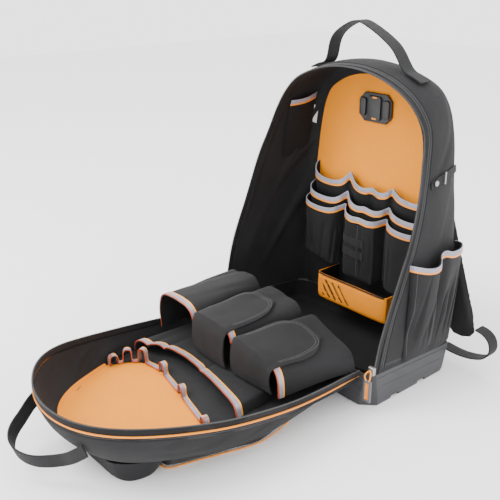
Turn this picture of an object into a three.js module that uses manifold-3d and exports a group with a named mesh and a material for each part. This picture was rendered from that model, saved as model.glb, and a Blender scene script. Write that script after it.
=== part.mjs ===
// A tool backpack that stands on its moulded base with its front lid opened down to the floor.
// Millimetres, +Z up. The origin is the middle of the base's underside, the lid opens toward -Y,
// the wearer's side is +Y and X runs across the bag.
import * as THREE from 'three';
import Module from 'manifold-3d';

const wasm = await Module();
wasm.setup();

// Moulded base
const BASE_WIDTH = 380;
const BASE_DEPTH = 220;
const BASE_HEIGHT = 64;
const BASE_REAR_DROP = 10;
const BASE_WALL = 3;
const BASE_CORNER = 22;
const BASE_RIM_CORNER = 14;
const BASE_FLARE = 1;
const FOOT_HEIGHT = 6;
const FOOT_INSET = 2;
const NOTCH_LENGTH = 20;
const NOTCH_DEPTH = 26;

// Cloth thicknesses and clearances
const PADDED = 3;
const LINING = 1.2;
const POCKET = 1.8;
const TAPE = 1;
const TAPE_WIDTH = 11;
const WEBBING = 2.4;
const WEBBING_WIDTH = 28;
const SEAM = 0.3;

// Main compartment
const MOUTH_WIDTH = 394;
const BAG_HEIGHT = 525;
const SETBACK = 120;
const REAR_WIDTH = 382;
const REAR_HEIGHT = 528;
const ARCH_SPRING = 300;
const ZIP_WIDTH = 9;
const ZIP_TAPE = 1.6;

// Lid, laid open on the floor
const LID_LENGTH = 465;
const LID_WIDTH = 360;
const LID_RISE = 118;
const LID_TURN = 250;
const LID_FULLNESS = 2.5;
const PIPING = 3.2;

// Organiser on the back wall
const ORGANISER_WIDTH = 300;
const ORGANISER_DEPTH = 50;
const MAP_POCKET_WIDTH = 168;
const MAP_POCKET_TOP = 117;
const MAP_POCKET_BOTTOM = 66;
const MAP_POCKET_DEPTH = 62;
const CLIP_WIDTH = 74;
const CLIP_HEIGHT = 52;
const CLIP_THICKNESS = 9;
const CLIP_UP = 442;
const CLIP_ACROSS = -11;
const TAG_WIDTH = 9;
const TAG_LENGTH = 30;

// Pouches on the lid
const POUCH_FLOOR = 69;
const POUCH_BACK = -122;
const POUCH_FRONT = -272;
const FLAP = 2.6;

// Carrying parts
const HANDLE_SPAN = 152;
const HANDLE_RISE = 74;
const HANDLE_BACK = 62;
const STRAP_WIDTH = 66;
const STRAP_THICKNESS = 12;
const LOOP_WEBBING_WIDTH = 24;
const BACK_PAD = 10;

// Zip sliders at the mouth's lower ends
const SLIDER_WIDTH = 12;
const SLIDER_HEIGHT = 14;
const SLIDER_DEPTH = 7;
const GRIP_WIDTH = 14;
const GRIP_LENGTH = 38;
const GRIP_THICKNESS = 5;

const COLOURS = {
  cloth: { color: 0x3b3b3e, roughness: 0.85, metalness: 0 },
  webbing: { color: 0x343338, roughness: 0.8, metalness: 0 },
  plastic: { color: 0x55545a, roughness: 0.55, metalness: 0 },
  orange: { color: 0xe98a35, roughness: 0.75, metalness: 0 },
  tape: { color: 0xb9b8c4, roughness: 0.45, metalness: 0 },
  metal: { color: 0x8c8c8f, roughness: 0.35, metalness: 0.9 },
  rubber: { color: 0x6c6d74, roughness: 0.6, metalness: 0 },
  label: { color: 0xe6e6e6, roughness: 0.7, metalness: 0 },
};

// Small helpers
const vec = (x, y, z) => new THREE.Vector3(x, y, z);
const mix = (a, b, t) => a + (b - a) * t;
const smooth = (t) => t * t * (3 - 2 * t);
const clamp = (t) => Math.max(0, Math.min(1, t));
const mirrored = (point) => vec(-point.x, point.y, point.z);

// Smooth value of one named column of a table, at a place from 0 to the last row's number.
function column(rows, name, place) {
  const row = Math.max(0, Math.min(Math.floor(place), rows.length - 2));
  const at = (k) => rows[Math.max(0, Math.min(rows.length - 1, k))][name];
  const f = place - row;
  const [p, q, r, s] = [at(row - 1), at(row), at(row + 1), at(row + 2)];
  return q + 0.5 * f * (r - p + f * (2 * p - 5 * q + 4 * r - s + f * (3 * (q - r) + s - p)));
}

// The rows of the right half and their mirror image, as one run from right to left.
function bothSides(rows, names) {
  const left = rows.slice(0, -1).reverse().map((row) => {
    const copy = { ...row };
    for (const name of names) copy[name] = -row[name];
    return copy;
  });
  return [...rows, ...left];
}

function weld(points, faces) {
  const seen = new Map();
  const kept = [];
  const to = points.map((p) => {
    const key = [p.x, p.y, p.z].map((c) => Math.round(c * 1000)).join();
    if (!seen.has(key)) {
      seen.set(key, kept.length);
      kept.push(p);
    }
    return seen.get(key);
  });
  const turned = faces.map((face) => face.map((k) => to[k]));
  return { points: kept, faces: turned.filter(([a, b, c]) => a !== b && b !== c && c !== a) };
}

// An open sheet of cloth from a function of two shares. It faces across x along.
function gridSheet(across, along, at) {
  const points = [];
  const faces = [];
  for (let j = 0; j <= along; j++) {
    for (let i = 0; i <= across; i++) {
      points.push(at(i / across, j / along));
      if (i === across || j === along) continue;
      const a = j * (across + 1) + i;
      const c = a + across + 1;
      faces.push([a, a + 1, c + 1], [a, c + 1, c]);
    }
  }
  return weld(points, faces);
}

function toGeometry({ points, faces }) {
  const geometry = new THREE.BufferGeometry();
  const numbers = points.flatMap((p) => [p.x, p.y, p.z]);
  geometry.setAttribute('position', new THREE.Float32BufferAttribute(numbers, 3));
  geometry.setIndex(faces.flat());
  return geometry;
}

// A closed wall between two distances from an open sheet, measured along its normals.
function thicken(sheet, low, high) {
  const normals = sheet.points.map(() => vec(0, 0, 0));
  for (const [a, b, c] of sheet.faces) {
    const ab = sheet.points[b].clone().sub(sheet.points[a]);
    const ac = sheet.points[c].clone().sub(sheet.points[a]);
    const normal = ab.cross(ac);
    for (const k of [a, b, c]) normals[k].add(normal);
  }
  normals.forEach((normal) => normal.normalize());
  const moved = (d) => sheet.points.map((p, k) => p.clone().addScaledVector(normals[k], d));
  const count = sheet.points.length;
  const faces = [];
  const rim = new Map();
  for (const [a, b, c] of sheet.faces) {
    faces.push([a, b, c], [a + count, c + count, b + count]);
    for (const [p, q] of [[a, b], [b, c], [c, a]]) {
      if (rim.has(`${q} ${p}`)) rim.delete(`${q} ${p}`);
      else rim.set(`${p} ${q}`, [p, q]);
    }
  }
  for (const [p, q] of rim.values()) faces.push([q, p, p + count], [q, p + count, q + count]);
  return toGeometry({ points: [...moved(high), ...moved(low)], faces });
}

// A flat band along a smooth line. sideways gives the direction of its width at each share.
function band(line, sideways, width, thickness, steps) {
  const sheet = gridSheet(1, steps, (across, along) => {
    const side = sideways(along).clone().normalize();
    return line.getPoint(along).addScaledVector(side, (across - 0.5) * width);
  });
  return thicken(sheet, -thickness / 2, thickness / 2);
}

const smoothLine = (points) => new THREE.CatmullRomCurve3(points, false, 'centripetal');

// A square cord through a list of points
function cordThrough(points, half) {
  const up = vec(0, 0, 1);
  const rings = points.map((at, k) => {
    const way = points[Math.min(k + 1, points.length - 1)].clone().sub(points[Math.max(k - 1, 0)]);
    const side = way.cross(up).normalize();
    return [[1, 1], [1, -1], [-1, -1], [-1, 1]].map(([a, b]) => (
      at.clone().addScaledVector(side, a * half).addScaledVector(up, b * half)));
  });
  return loft(rings);
}

// A closed body through rings with the same number of points, each one convex.
function loft(rings) {
  const points = rings.flat();
  const sides = rings[0].length;
  const faces = [];
  for (let k = 0; k < rings.length - 1; k++) {
    for (let i = 0; i < sides; i++) {
      const a = k * sides + i;
      const b = k * sides + ((i + 1) % sides);
      faces.push([a, b, b + sides], [a, b + sides, a + sides]);
    }
  }
  const top = (rings.length - 1) * sides;
  for (let i = 1; i < sides - 1; i++) faces.push([0, i + 1, i], [top, top + i, top + i + 1]);
  return toGeometry({ points, faces });
}

function toSolid(geometry) {
  const mesh = new wasm.Mesh({
    numProp: 3,
    vertProperties: new Float32Array(geometry.attributes.position.array),
    triVerts: new Uint32Array(geometry.index.array),
  });
  mesh.merge();
  return new wasm.Manifold(mesh);
}

function fromSolid(solid) {
  const mesh = solid.getMesh();
  const geometry = new THREE.BufferGeometry();
  geometry.setAttribute('position', new THREE.BufferAttribute(new Float32Array(mesh.vertProperties), 3));
  geometry.setIndex(new THREE.BufferAttribute(new Uint32Array(mesh.triVerts), 1));
  return geometry;
}

// A rectangular block between two corners.
function block(low, high) {
  const ring = (z) => [
    vec(low.x, low.y, z), vec(high.x, low.y, z), vec(high.x, high.y, z), vec(low.x, high.y, z),
  ];
  return loft([ring(low.z), ring(high.z)]);
}

const group = new THREE.Group();
function add(name, look, geometry) {
  const mesh = new THREE.Mesh(geometry, new THREE.MeshStandardMaterial(COLOURS[look]));
  mesh.name = name;
  group.add(mesh);
}

// Height of the base's rim at a place from front to rear
const rimDrop = (y) => BASE_REAR_DROP * (y / BASE_DEPTH + 0.5);
const rimHeight = (y) => BASE_HEIGHT - rimDrop(y);

// Plan of the base: a rectangle with cut corners
function cutRectangle(halfX, halfY, corner, height) {
  const plan = [
    [halfX, corner - halfY], [halfX, halfY - corner], [halfX - corner, halfY], [corner - halfX, halfY],
    [-halfX, halfY - corner], [-halfX, corner - halfY], [corner - halfX, -halfY], [halfX - corner, -halfY],
  ];
  return plan.map(([x, y]) => vec(x, y, height(y)));
}

function baseRing(inset, corner, height) {
  return cutRectangle(BASE_WIDTH / 2 - inset, BASE_DEPTH / 2 - inset, corner, height);
}

function makeBase() {
  const outside = loft([
    baseRing(FOOT_INSET, BASE_CORNER, () => 0),
    baseRing(0, BASE_CORNER, () => FOOT_HEIGHT + 2),
    baseRing(-BASE_FLARE, BASE_RIM_CORNER, rimHeight),
  ]);
  const inside = loft([
    baseRing(FOOT_INSET + BASE_WALL, BASE_CORNER, () => BASE_WALL),
    baseRing(BASE_WALL, BASE_CORNER, () => FOOT_HEIGHT + 2),
    baseRing(BASE_WALL - BASE_FLARE, BASE_RIM_CORNER, (y) => rimHeight(y) + BASE_WALL),
  ]);
  let solid = toSolid(outside).subtract(toSolid(inside));
  const half = BASE_WIDTH / 2;
  for (const side of [-1, 1]) {
    for (const place of [-0.19, 0.135]) {
      const y = place * BASE_DEPTH;
      const span = (grow) => [side * (half - NOTCH_DEPTH - grow), side * (half - FOOT_INSET - BASE_WALL / 2)];
      const box = (grow, low, high, reach) => {
        const [x0, x1] = span(grow);
        const xs = [x0, x1 + side * reach].sort((a, b) => a - b);
        const halfLength = NOTCH_LENGTH / 2 + grow;
        return toSolid(block(vec(xs[0], y - halfLength, low), vec(xs[1], y + halfLength, high)));
      };
      solid = solid.add(box(BASE_WALL, BASE_WALL / 2, FOOT_HEIGHT + BASE_WALL, 0));
      solid = solid.subtract(box(0, -BASE_WALL, FOOT_HEIGHT, BASE_WALL * 4));
    }
  }
  add('moulded_base', 'plastic', fromSolid(solid));
}

// Cloth tub inside the base: walls and floor
function makeInnerTub() {
  const stations = [
    { inset: BASE_WALL - BASE_FLARE, corner: BASE_RIM_CORNER, height: (y) => rimHeight(y) - 1 },
    { inset: BASE_WALL, corner: BASE_CORNER, height: () => FOOT_HEIGHT + BASE_WALL + 6 },
    { inset: BASE_WALL + 12, corner: BASE_CORNER, height: () => FOOT_HEIGHT + BASE_WALL },
    { inset: BASE_WALL + 100, corner: 1, height: () => FOOT_HEIGHT + BASE_WALL },
  ];
  const rings = stations.map((s) => baseRing(s.inset + SEAM, s.corner, s.height));
  const sides = rings[0].length;
  const faces = [];
  for (let k = 0; k < rings.length - 1; k++) {
    for (let i = 0; i < sides; i++) {
      const [a, b] = [k * sides + i, k * sides + ((i + 1) % sides)];
      faces.push([a, b + sides, b], [a, a + sides, b + sides]);
    }
  }
  const last = (rings.length - 1) * sides;
  for (let i = 1; i < sides - 1; i++) faces.push([last, last + i + 1, last + i]);
  add('inner_tub', 'cloth', thicken({ points: rings.flat(), faces }, -POCKET, -SEAM));
}

// The bag's outline from its lower right corner up to the top, as shares: up of the height above
// the base at the mouth and the rear, half of the half widths, back of the mouth's set-back.
const SHELL_ROWS = [
  { up: 0, half: 0.968, back: 0.06, rearUp: 0, rearHalf: 0.994 },
  { up: 0.06, half: 0.977, back: 0.085, rearUp: 0.06, rearHalf: 1 },
  { up: 0.14, half: 0.986, back: 0.135, rearUp: 0.14, rearHalf: 1 },
  { up: 0.273, half: 1, back: 0.28, rearUp: 0.265, rearHalf: 0.975 },
  { up: 0.447, half: 0.991, back: 0.555, rearUp: 0.43, rearHalf: 0.95 },
  { up: 0.599, half: 0.966, back: 0.74, rearUp: 0.575, rearHalf: 0.91 },
  { up: 0.707, half: 0.91, back: 0.875, rearUp: 0.69, rearHalf: 0.875 },
  { up: 0.816, half: 0.848, back: 0.99, rearUp: 0.807, rearHalf: 0.83 },
  { up: 0.891, half: 0.721, back: 0.995, rearUp: 0.888, rearHalf: 0.765 },
  { up: 0.94, half: 0.575, back: 0.98, rearUp: 0.938, rearHalf: 0.665 },
  { up: 0.975, half: 0.38, back: 0.98, rearUp: 0.97, rearHalf: 0.46 },
  { up: 0.994, half: 0.19, back: 0.975, rearUp: 0.992, rearHalf: 0.23 },
  { up: 1, half: 0, back: 0.97, rearUp: 1, rearHalf: 0 },
];
const SHELL_ARCH = bothSides(SHELL_ROWS, ['half', 'rearHalf']);

// From the mouth to the middle of the back: depth of the bag's depth, keep of the outline's size.
const SHELL_DEPTHS = [
  { depth: 0, keep: 1 },
  { depth: 0.24, keep: 1.016 },
  { depth: 0.5, keep: 1.022 },
  { depth: 0.74, keep: 1.012 },
  { depth: 0.89, keep: 0.992 },
  { depth: 0.97, keep: 0.96 },
  { depth: 1, keep: 0.91 },
  { depth: 1.002, keep: 0.6 },
  { depth: 1.003, keep: 0 },
];

const REAR = BASE_DEPTH / 2;
const rise = BAG_HEIGHT - BASE_HEIGHT;
const rearRise = REAR_HEIGHT - BASE_HEIGHT;

function shellAt(arch, depth, keep) {
  const place = arch * (SHELL_ARCH.length - 1);
  const get = (name) => column(SHELL_ARCH, name, place);
  const flat = Math.min(depth, 1);
  const behind = (depth - flat) * (BASE_DEPTH - SETBACK);
  const y = mix(get('back') * SETBACK - REAR, REAR, flat) + behind;
  const x = mix(get('half') * MOUTH_WIDTH / 2, get('rearHalf') * REAR_WIDTH / 2, flat) * keep;
  const up = mix(get('up'), get('rearUp'), flat);
  const plain = BASE_HEIGHT + up * mix(rise, rearRise, flat) - rimDrop(Math.min(y, REAR)) * (1 - up) ** 2;
  const z = plain > ARCH_SPRING ? ARCH_SPRING + (plain - ARCH_SPRING) * keep : plain;
  const pinch = arch === 0 || arch === 1 ? 1 : 0;
  return vec(pinch && keep > 1 ? x / keep : x, y, z + SEAM);
}

// Share of the depth that the zip tape takes, at a place on the outline
function tapeShare(arch, width) {
  const set = column(SHELL_ARCH, 'back', arch * (SHELL_ARCH.length - 1)) * SETBACK;
  return width / (BASE_DEPTH - set);
}

function shellPoint(arch, share) {
  const place = share * (SHELL_DEPTHS.length - 1);
  const start = tapeShare(arch, ZIP_WIDTH + SEAM);
  const depth = column(SHELL_DEPTHS, 'depth', place);
  return shellAt(arch, Math.max(depth, mix(start, 1, depth)), column(SHELL_DEPTHS, 'keep', place));
}

function makeShell() {
  const sheet = gridSheet(8, 32, (share, arch) => shellPoint(arch, share));
  add('main_shell', 'cloth', thicken(sheet, -PADDED, 0));
  const tape = gridSheet(1, 32, (share, arch) => shellAt(arch, tapeShare(arch, share * ZIP_WIDTH), 1));
  add('mouth_zip', 'webbing', thicken(tape, -PADDED / 2 - ZIP_TAPE / 2, ZIP_TAPE / 2 - PADDED / 2));
}

const WALL_FACE = REAR - PADDED - SEAM;
const LINING_FACE = WALL_FACE - LINING - SEAM;

// Orange lining on the upper rear wall, from its lower edge up and round the shoulders
const LINING_ROWS = [
  { up: 0.425, half: 0.82 },
  { up: 0.66, half: 0.78 },
  { up: 0.82, half: 0.7 },
  { up: 0.88, half: 0.59 },
  { up: 0.92, half: 0.4 },
  { up: 0.935, half: 0.2 },
  { up: 0.94, half: 0 },
];
const LINING_ARCH = bothSides(LINING_ROWS, ['half']);

function makeBackLining() {
  const sheet = gridSheet(1, 24, (keep, arch) => {
    const place = arch * (LINING_ARCH.length - 1);
    const half = column(LINING_ARCH, 'half', place) * REAR_WIDTH / 2;
    return vec(half * keep, WALL_FACE, BASE_HEIGHT + column(LINING_ARCH, 'up', place) * rearRise);
  });
  add('back_lining', 'orange', thicken(sheet, 0, LINING));
}

// Black clip bracket on the lining: a plate with cut corners and two rails
function makeClipBracket() {
  const ring = (halfX, halfZ, cut, y, x0 = 0) => [
    [halfX, cut - halfZ], [halfX, halfZ - cut], [halfX - cut, halfZ], [cut - halfX, halfZ],
    [-halfX, halfZ - cut], [-halfX, cut - halfZ], [cut - halfX, -halfZ], [halfX - cut, -halfZ],
  ].map(([x, z]) => vec(x + x0 + CLIP_ACROSS, y, CLIP_UP + z)).reverse();
  const plate = toSolid(loft([
    ring(CLIP_WIDTH / 2, CLIP_HEIGHT / 2, 12, LINING_FACE - CLIP_THICKNESS / 2),
    ring(CLIP_WIDTH / 2, CLIP_HEIGHT / 2, 12, LINING_FACE),
  ]));
  const raised = [
    { at: -0.36, wide: 0.2 },
    { at: 0, wide: 0.4 },
    { at: 0.36, wide: 0.2 },
  ];
  let solid = plate;
  for (const { at, wide } of raised) {
    const half = wide * CLIP_WIDTH / 2;
    const high = CLIP_HEIGHT / 2 - 5 - 14 * Math.abs(at);
    solid = solid.add(toSolid(loft([
      ring(half, high, 3, LINING_FACE - CLIP_THICKNESS, at * CLIP_WIDTH),
      ring(half, high, 3, LINING_FACE - CLIP_THICKNESS / 3, at * CLIP_WIDTH),
    ])));
  }
  add('clip_bracket', 'plastic', fromSolid(solid));
}

// Folded pocket panels, from left to right, with deep tucks between the pockets: across is a share
// of the half width, out of the stand-off (small for the upper tier), rise of what the mouth is
// lifted by and low of what the bottom is.
const ORGANISER_FOLDS = [
  { across: -1, out: 0, small: 0, rise: 1, low: 1 },
  { across: -0.985, out: 0.5, small: 0.5, rise: 0.8, low: 1 },
  { across: -0.94, out: 0.82, small: 0.82, rise: 0.4, low: 1 },
  { across: -0.84, out: 0.96, small: 0.96, rise: 0.15, low: 0.9 },
  { across: -0.66, out: 1, small: 1, rise: 0, low: 0.75 },
  { across: -0.5, out: 0.98, small: 0.98, rise: 0.1, low: 0.55 },
  { across: -0.43, out: 0.88, small: 0.9, rise: 0.35, low: 0.45 },
  { across: -0.4, out: 0.7, small: 0.72, rise: 0.65, low: 0.4 },
  { across: -0.375, out: 0.46, small: 0.5, rise: 0.85, low: 0.3 },
  { across: -0.335, out: 0.46, small: 0.5, rise: 0.8, low: 0.2 },
  { across: -0.28, out: 0.7, small: 0.76, rise: 0.5, low: 0.1 },
  { across: -0.2, out: 0.92, small: 0.97, rise: 0.15, low: 0 },
  { across: -0.08, out: 1, small: 0.92, rise: 0, low: 0 },
  { across: -0.005, out: 0.98, small: 0.62, rise: 0.2, low: 0 },
  { across: 0.05, out: 0.98, small: 0.66, rise: 0.2, low: 0 },
  { across: 0.15, out: 1, small: 0.98, rise: 0, low: 0 },
  { across: 0.25, out: 0.92, small: 0.92, rise: 0.15, low: 0 },
  { across: 0.28, out: 0.73, small: 0.74, rise: 0.35, low: 0 },
  { across: 0.305, out: 0.48, small: 0.52, rise: 0.5, low: 0 },
  { across: 0.345, out: 0.48, small: 0.52, rise: 0.45, low: 0 },
  { across: 0.41, out: 0.74, small: 0.78, rise: 0.25, low: 0 },
  { across: 0.54, out: 0.94, small: 0.96, rise: 0.05, low: 0 },
  { across: 0.72, out: 1, small: 1, rise: 0, low: 0 },
  { across: 0.9, out: 0.88, small: 0.88, rise: 0.1, low: 0 },
  { across: 0.985, out: 0.5, small: 0.5, rise: 0.4, low: 0 },
  { across: 1, out: 0, small: 0, rise: 0.5, low: 0 },
];

// The three tiers: mouth and bottom heights and what they are lifted by, shares of the stand-off
// and of the width at the ends, and the rows of the panel with their share of the stand-off.
const BESIDE_LINING = LINING_FACE - SEAM;
const HUNG = [{ up: 0, deep: 0.01 }, { up: 0.5, deep: 1 }, { up: 1, deep: 1 }];
const BOXED = [{ up: 0, deep: 0.06 }, { up: 0.05, deep: 0.92 }, { up: 0.5, deep: 1 }, { up: 1, deep: 1 }];
const TIERS = [
  { name: 'upper', top: 294, lift: 26, bottom: 236, sag: 0, out: 0.4, wide: 0.97, wall: BESIDE_LINING,
    fold: 'small', rows: HUNG },
  { name: 'middle', top: 263, lift: 20, bottom: 200, sag: 0, out: 0.7, wide: 0.985, wall: BESIDE_LINING,
    fold: 'out', rows: HUNG },
  { name: 'lower', top: 246, lift: 12, bottom: 119.5, sag: 24, out: 1, wide: 1, wall: WALL_FACE - SEAM,
    fold: 'out', rows: BOXED },
];

function tierPoint(tier, across, up, deep) {
  const { across: at, [tier.fold]: fold, rise: lifted, low } = ORGANISER_FOLDS[
    Math.round(across * (ORGANISER_FOLDS.length - 1))];
  const x = at * ORGANISER_WIDTH / 2 * mix(1, tier.wide, at ** 8);
  const out = deep * tier.out * ORGANISER_DEPTH * mix(Math.min(1, fold * 1.1), fold, up);
  return vec(x, tier.wall - out, mix(tier.bottom + tier.sag * low, tier.top + tier.lift * lifted, up));
}

function makeOrganiser() {
  const steps = ORGANISER_FOLDS.length - 1;
  for (const tier of TIERS) {
    const last = tier.rows.length - 1;
    const panel = gridSheet(steps, last, (across, along) => {
      const { up, deep } = tier.rows[Math.round(along * last)];
      return tierPoint(tier, across, up, deep);
    });
    add(`organiser_${tier.name}`, 'cloth', thicken(panel, 0, POCKET - 2 * SEAM));
    const share = TAPE_WIDTH / (tier.top - tier.bottom);
    const tape = gridSheet(steps, 1, (across, up) => tierPoint(tier, across, mix(1 - share, 1, up), 1));
    add(`organiser_${tier.name}_trim`, 'tape', thicken(tape, POCKET, POCKET + TAPE));
  }
}

// Ribbed orange pocket low on the rear wall
function makeRibbedPocket() {
  const half = MAP_POCKET_WIDTH / 2;
  const steps = [
    { deep: 0.1, up: 0 }, { deep: 0.96, up: 0.02 }, { deep: 1, up: 0.1 }, { deep: 1, up: 0.55 },
    { deep: 0.97, up: 1 },
  ];
  const around = [
    { x: -1, deep: 0 }, { x: -1, deep: 0.5 }, { x: -1, deep: 0.93 }, { x: -0.92, deep: 1 },
    { x: -0.45, deep: 1 }, { x: 0, deep: 1 }, { x: 0.45, deep: 1 }, { x: 0.92, deep: 1 },
    { x: 1, deep: 0.93 }, { x: 1, deep: 0.5 }, { x: 1, deep: 0 },
  ];
  const sheet = gridSheet(around.length - 1, steps.length - 1, (across, up) => {
    const a = around[Math.round(across * (around.length - 1))];
    const s = steps[Math.round(up * (steps.length - 1))];
    const y = WALL_FACE - a.deep * s.deep * MAP_POCKET_DEPTH;
    return vec(a.x * half, y, mix(MAP_POCKET_BOTTOM, MAP_POCKET_TOP, s.up));
  });
  add('ribbed_pocket', 'orange', thicken(sheet, 0, POCKET));
}

// Place in a table where a rising column reaches a value
function placeOf(rows, name, value) {
  let [low, high] = [0, rows.length - 1];
  for (let k = 0; k < 30; k++) {
    const middle = (low + high) / 2;
    if (column(rows, name, middle) < value) low = middle;
    else high = middle;
  }
  return (low + high) / 2;
}

// A point a distance off the right side's outer face, at a depth y and a height z
function offSide(y, z, distance) {
  const arch = placeOf(SHELL_ROWS, 'up', (z - BASE_HEIGHT) / rise) / (SHELL_ARCH.length - 1);
  const front = column(SHELL_ARCH, 'back', arch * (SHELL_ARCH.length - 1)) * SETBACK - REAR;
  const start = tapeShare(arch, ZIP_WIDTH + SEAM);
  const depth = ((y - front) / (REAR - front) - start) / (1 - start);
  const share = placeOf(SHELL_DEPTHS, 'depth', depth) / (SHELL_DEPTHS.length - 1);
  const step = 0.004;
  const here = shellPoint(arch, share);
  const inward = shellPoint(arch, share + step).sub(shellPoint(arch, share - step));
  const along = shellPoint(arch + step, share).sub(shellPoint(arch - step, share));
  return here.addScaledVector(inward.cross(along).normalize(), distance);
}

// Narrow pocket on the inner left wall, with a taped mouth, and a small tag beside it
const WALL_POCKET = { low: 335, high: 443, slant: 13, near: 36, far: 94, out: 9 };

function makeWallPocket() {
  const { low, high, slant, near, far, out } = WALL_POCKET;
  const at = (across, up) => {
    const bulge = out * Math.sin(Math.PI * across) * smooth(up);
    const z = mix(low, high + slant * across, up);
    return mirrored(offSide(mix(near, far, across), z, -PADDED - SEAM - POCKET - bulge));
  };
  add('wall_pocket', 'cloth', thicken(gridSheet(6, 4, at), SEAM, POCKET));
  const share = TAPE_WIDTH / (high - low);
  const tape = gridSheet(6, 1, (across, up) => at(across, mix(1 - share, 1, up)));
  add('wall_pocket_trim', 'tape', thicken(tape, POCKET + 3 * SEAM, POCKET + 3 * SEAM + TAPE));
  const tag = gridSheet(1, 2, (across, up) => {
    const z = high - 12 - TAG_LENGTH * (1 - up);
    return mirrored(offSide(far + 3 + across * TAG_WIDTH, z, -PADDED - SEAM - TAPE - 2 * (1 - up)));
  });
  add('tag_strip', 'label', thicken(tag, 0, TAPE));
}

// Pleated pockets on the side: along from front to rear as a share of the base's half depth,
// out of the stand-off, mouth of the bag's height.
const SIDE_OUT = 20;
const SIDE_FOLDS = [
  { along: -0.33, out: 0, mouth: 0.463 },
  { along: -0.31, out: 0.5, mouth: 0.463 },
  { along: -0.14, out: 0.92, mouth: 0.453 },
  { along: 0.07, out: 0.95, mouth: 0.449 },
  { along: 0.18, out: 0.76, mouth: 0.459 },
  { along: 0.235, out: 0.46, mouth: 0.471 },
  { along: 0.285, out: 0.44, mouth: 0.482 },
  { along: 0.345, out: 0.68, mouth: 0.488 },
  { along: 0.41, out: 0.86, mouth: 0.48 },
  { along: 0.62, out: 0.86, mouth: 0.476 },
  { along: 0.8, out: 0.74, mouth: 0.476 },
  { along: 0.91, out: 0.42, mouth: 0.478 },
  { along: 0.935, out: 0, mouth: 0.478 },
];

function sidePocketAt(across, up) {
  const place = across * (SIDE_FOLDS.length - 1);
  const get = (name) => column(SIDE_FOLDS, name, place);
  const z = mix(BASE_HEIGHT + 8, get('mouth') * BAG_HEIGHT, up);
  const out = Math.max(0, get('out')) * SIDE_OUT * mix(0.12, 1, smooth(clamp(up * 1.2)));
  return offSide(get('along') * BASE_DEPTH / 2, z, SEAM * 3 + out);
}

function makeSidePockets() {
  for (const side of ['right', 'left']) {
    const at = side === 'right' ? sidePocketAt : (across, up) => mirrored(sidePocketAt(1 - across, up));
    add(`side_pocket_${side}`, 'cloth', thicken(gridSheet(18, 3, at), 0, POCKET));
    const share = TAPE_WIDTH / (SIDE_FOLDS[0].mouth * BAG_HEIGHT - BASE_HEIGHT);
    const tape = gridSheet(18, 1, (across, up) => at(across, mix(1 - share, 1, up)));
    add(`side_pocket_${side}_trim`, 'tape', thicken(tape, POCKET + 2 * SEAM, POCKET + 2 * SEAM + TAPE));
  }
}

// Narrow tape with a rivet and a metal bar high on each side
const SIDE_FITTING = { front: 8, rear: 96, low: 360, high: 378, rivet: 5, bar: 20 };

function makeSideFittings() {
  const { front, rear, low, high, rivet, bar } = SIDE_FITTING;
  for (const side of ['right', 'left']) {
    const turn = side === 'right' ? (p) => p : mirrored;
    const at = (across, along) => {
      const share = side === 'right' ? along : 1 - along;
      const z = mix(low, high, share) + (across - 0.5) * TAPE_WIDTH;
      return turn(offSide(mix(front + rivet, rear, share), z, SEAM * 2));
    };
    add(`side_tape_${side}`, 'webbing', thicken(gridSheet(1, 8, at), -TAPE, 0));
    const hold = (y) => turn(offSide(y, mix(low, high, (y - front) / (rear - front)), SEAM * 4 + TAPE));
    const centre = hold(front + rivet * 3);
    const ring = (out, grow) => [...Array(8)].map((_, k) => {
      const turnBy = (k / 8) * 2 * Math.PI * (side === 'right' ? 1 : -1);
      const flip = side === 'right' ? 1 : -1;
      return vec(centre.x + flip * (out + 0.4), centre.y + rivet * grow * Math.cos(turnBy),
        centre.z + rivet * grow * Math.sin(turnBy));
    });
    add(`side_rivet_${side}`, 'metal', loft([ring(0, 1), ring(1.6, 1), ring(2.8, 0.6)]));
    const middle = hold(front + rivet * 8);
    const flip = side === 'right' ? 1 : -1;
    const xs = [middle.x + flip * 0.6, middle.x + flip * 3].sort((a, b) => a - b);
    add(`side_bar_${side}`, 'metal', block(vec(xs[0], middle.y - 1.5, middle.z - bar / 2),
      vec(xs[1], middle.y + 1.5, middle.z + bar / 2)));
  }
}

// The opened lid from its near hinge corner round to the tip, as shares: along of the length,
// half of the half width and rise of the rim's height, at the rim and at the edge of its floor.
const LID_ROWS = [
  { along: 0, half: 0.95, rise: 0.59, flatAlong: 0.004, flatHalf: 0.84, flatRise: 0.39 },
  { along: 0.085, half: 0.96, rise: 0.607, flatAlong: 0.085, flatHalf: 0.86, flatRise: 0.38 },
  { along: 0.19, half: 0.983, rise: 0.636, flatAlong: 0.188, flatHalf: 0.89, flatRise: 0.37 },
  { along: 0.32, half: 1, rise: 0.678, flatAlong: 0.315, flatHalf: 0.94, flatRise: 0.35 },
  { along: 0.448, half: 0.993, rise: 0.74, flatAlong: 0.437, flatHalf: 0.94, flatRise: 0.335 },
  { along: 0.576, half: 0.965, rise: 0.81, flatAlong: 0.55, flatHalf: 0.89, flatRise: 0.315 },
  { along: 0.682, half: 0.915, rise: 0.885, flatAlong: 0.645, flatHalf: 0.81, flatRise: 0.305 },
  { along: 0.778, half: 0.845, rise: 0.955, flatAlong: 0.727, flatHalf: 0.72, flatRise: 0.305 },
  { along: 0.853, half: 0.75, rise: 0.992, flatAlong: 0.792, flatHalf: 0.62, flatRise: 0.305 },
  { along: 0.91, half: 0.625, rise: 1, flatAlong: 0.845, flatHalf: 0.51, flatRise: 0.305 },
  { along: 0.955, half: 0.46, rise: 0.99, flatAlong: 0.88, flatHalf: 0.38, flatRise: 0.305 },
  { along: 0.988, half: 0.25, rise: 0.98, flatAlong: 0.903, flatHalf: 0.2, flatRise: 0.305 },
  { along: 1, half: 0, rise: 0.975, flatAlong: 0.908, flatHalf: 0, flatRise: 0.305 },
];
const LID_RUN = bothSides(LID_ROWS, ['half', 'flatHalf']);
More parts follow.
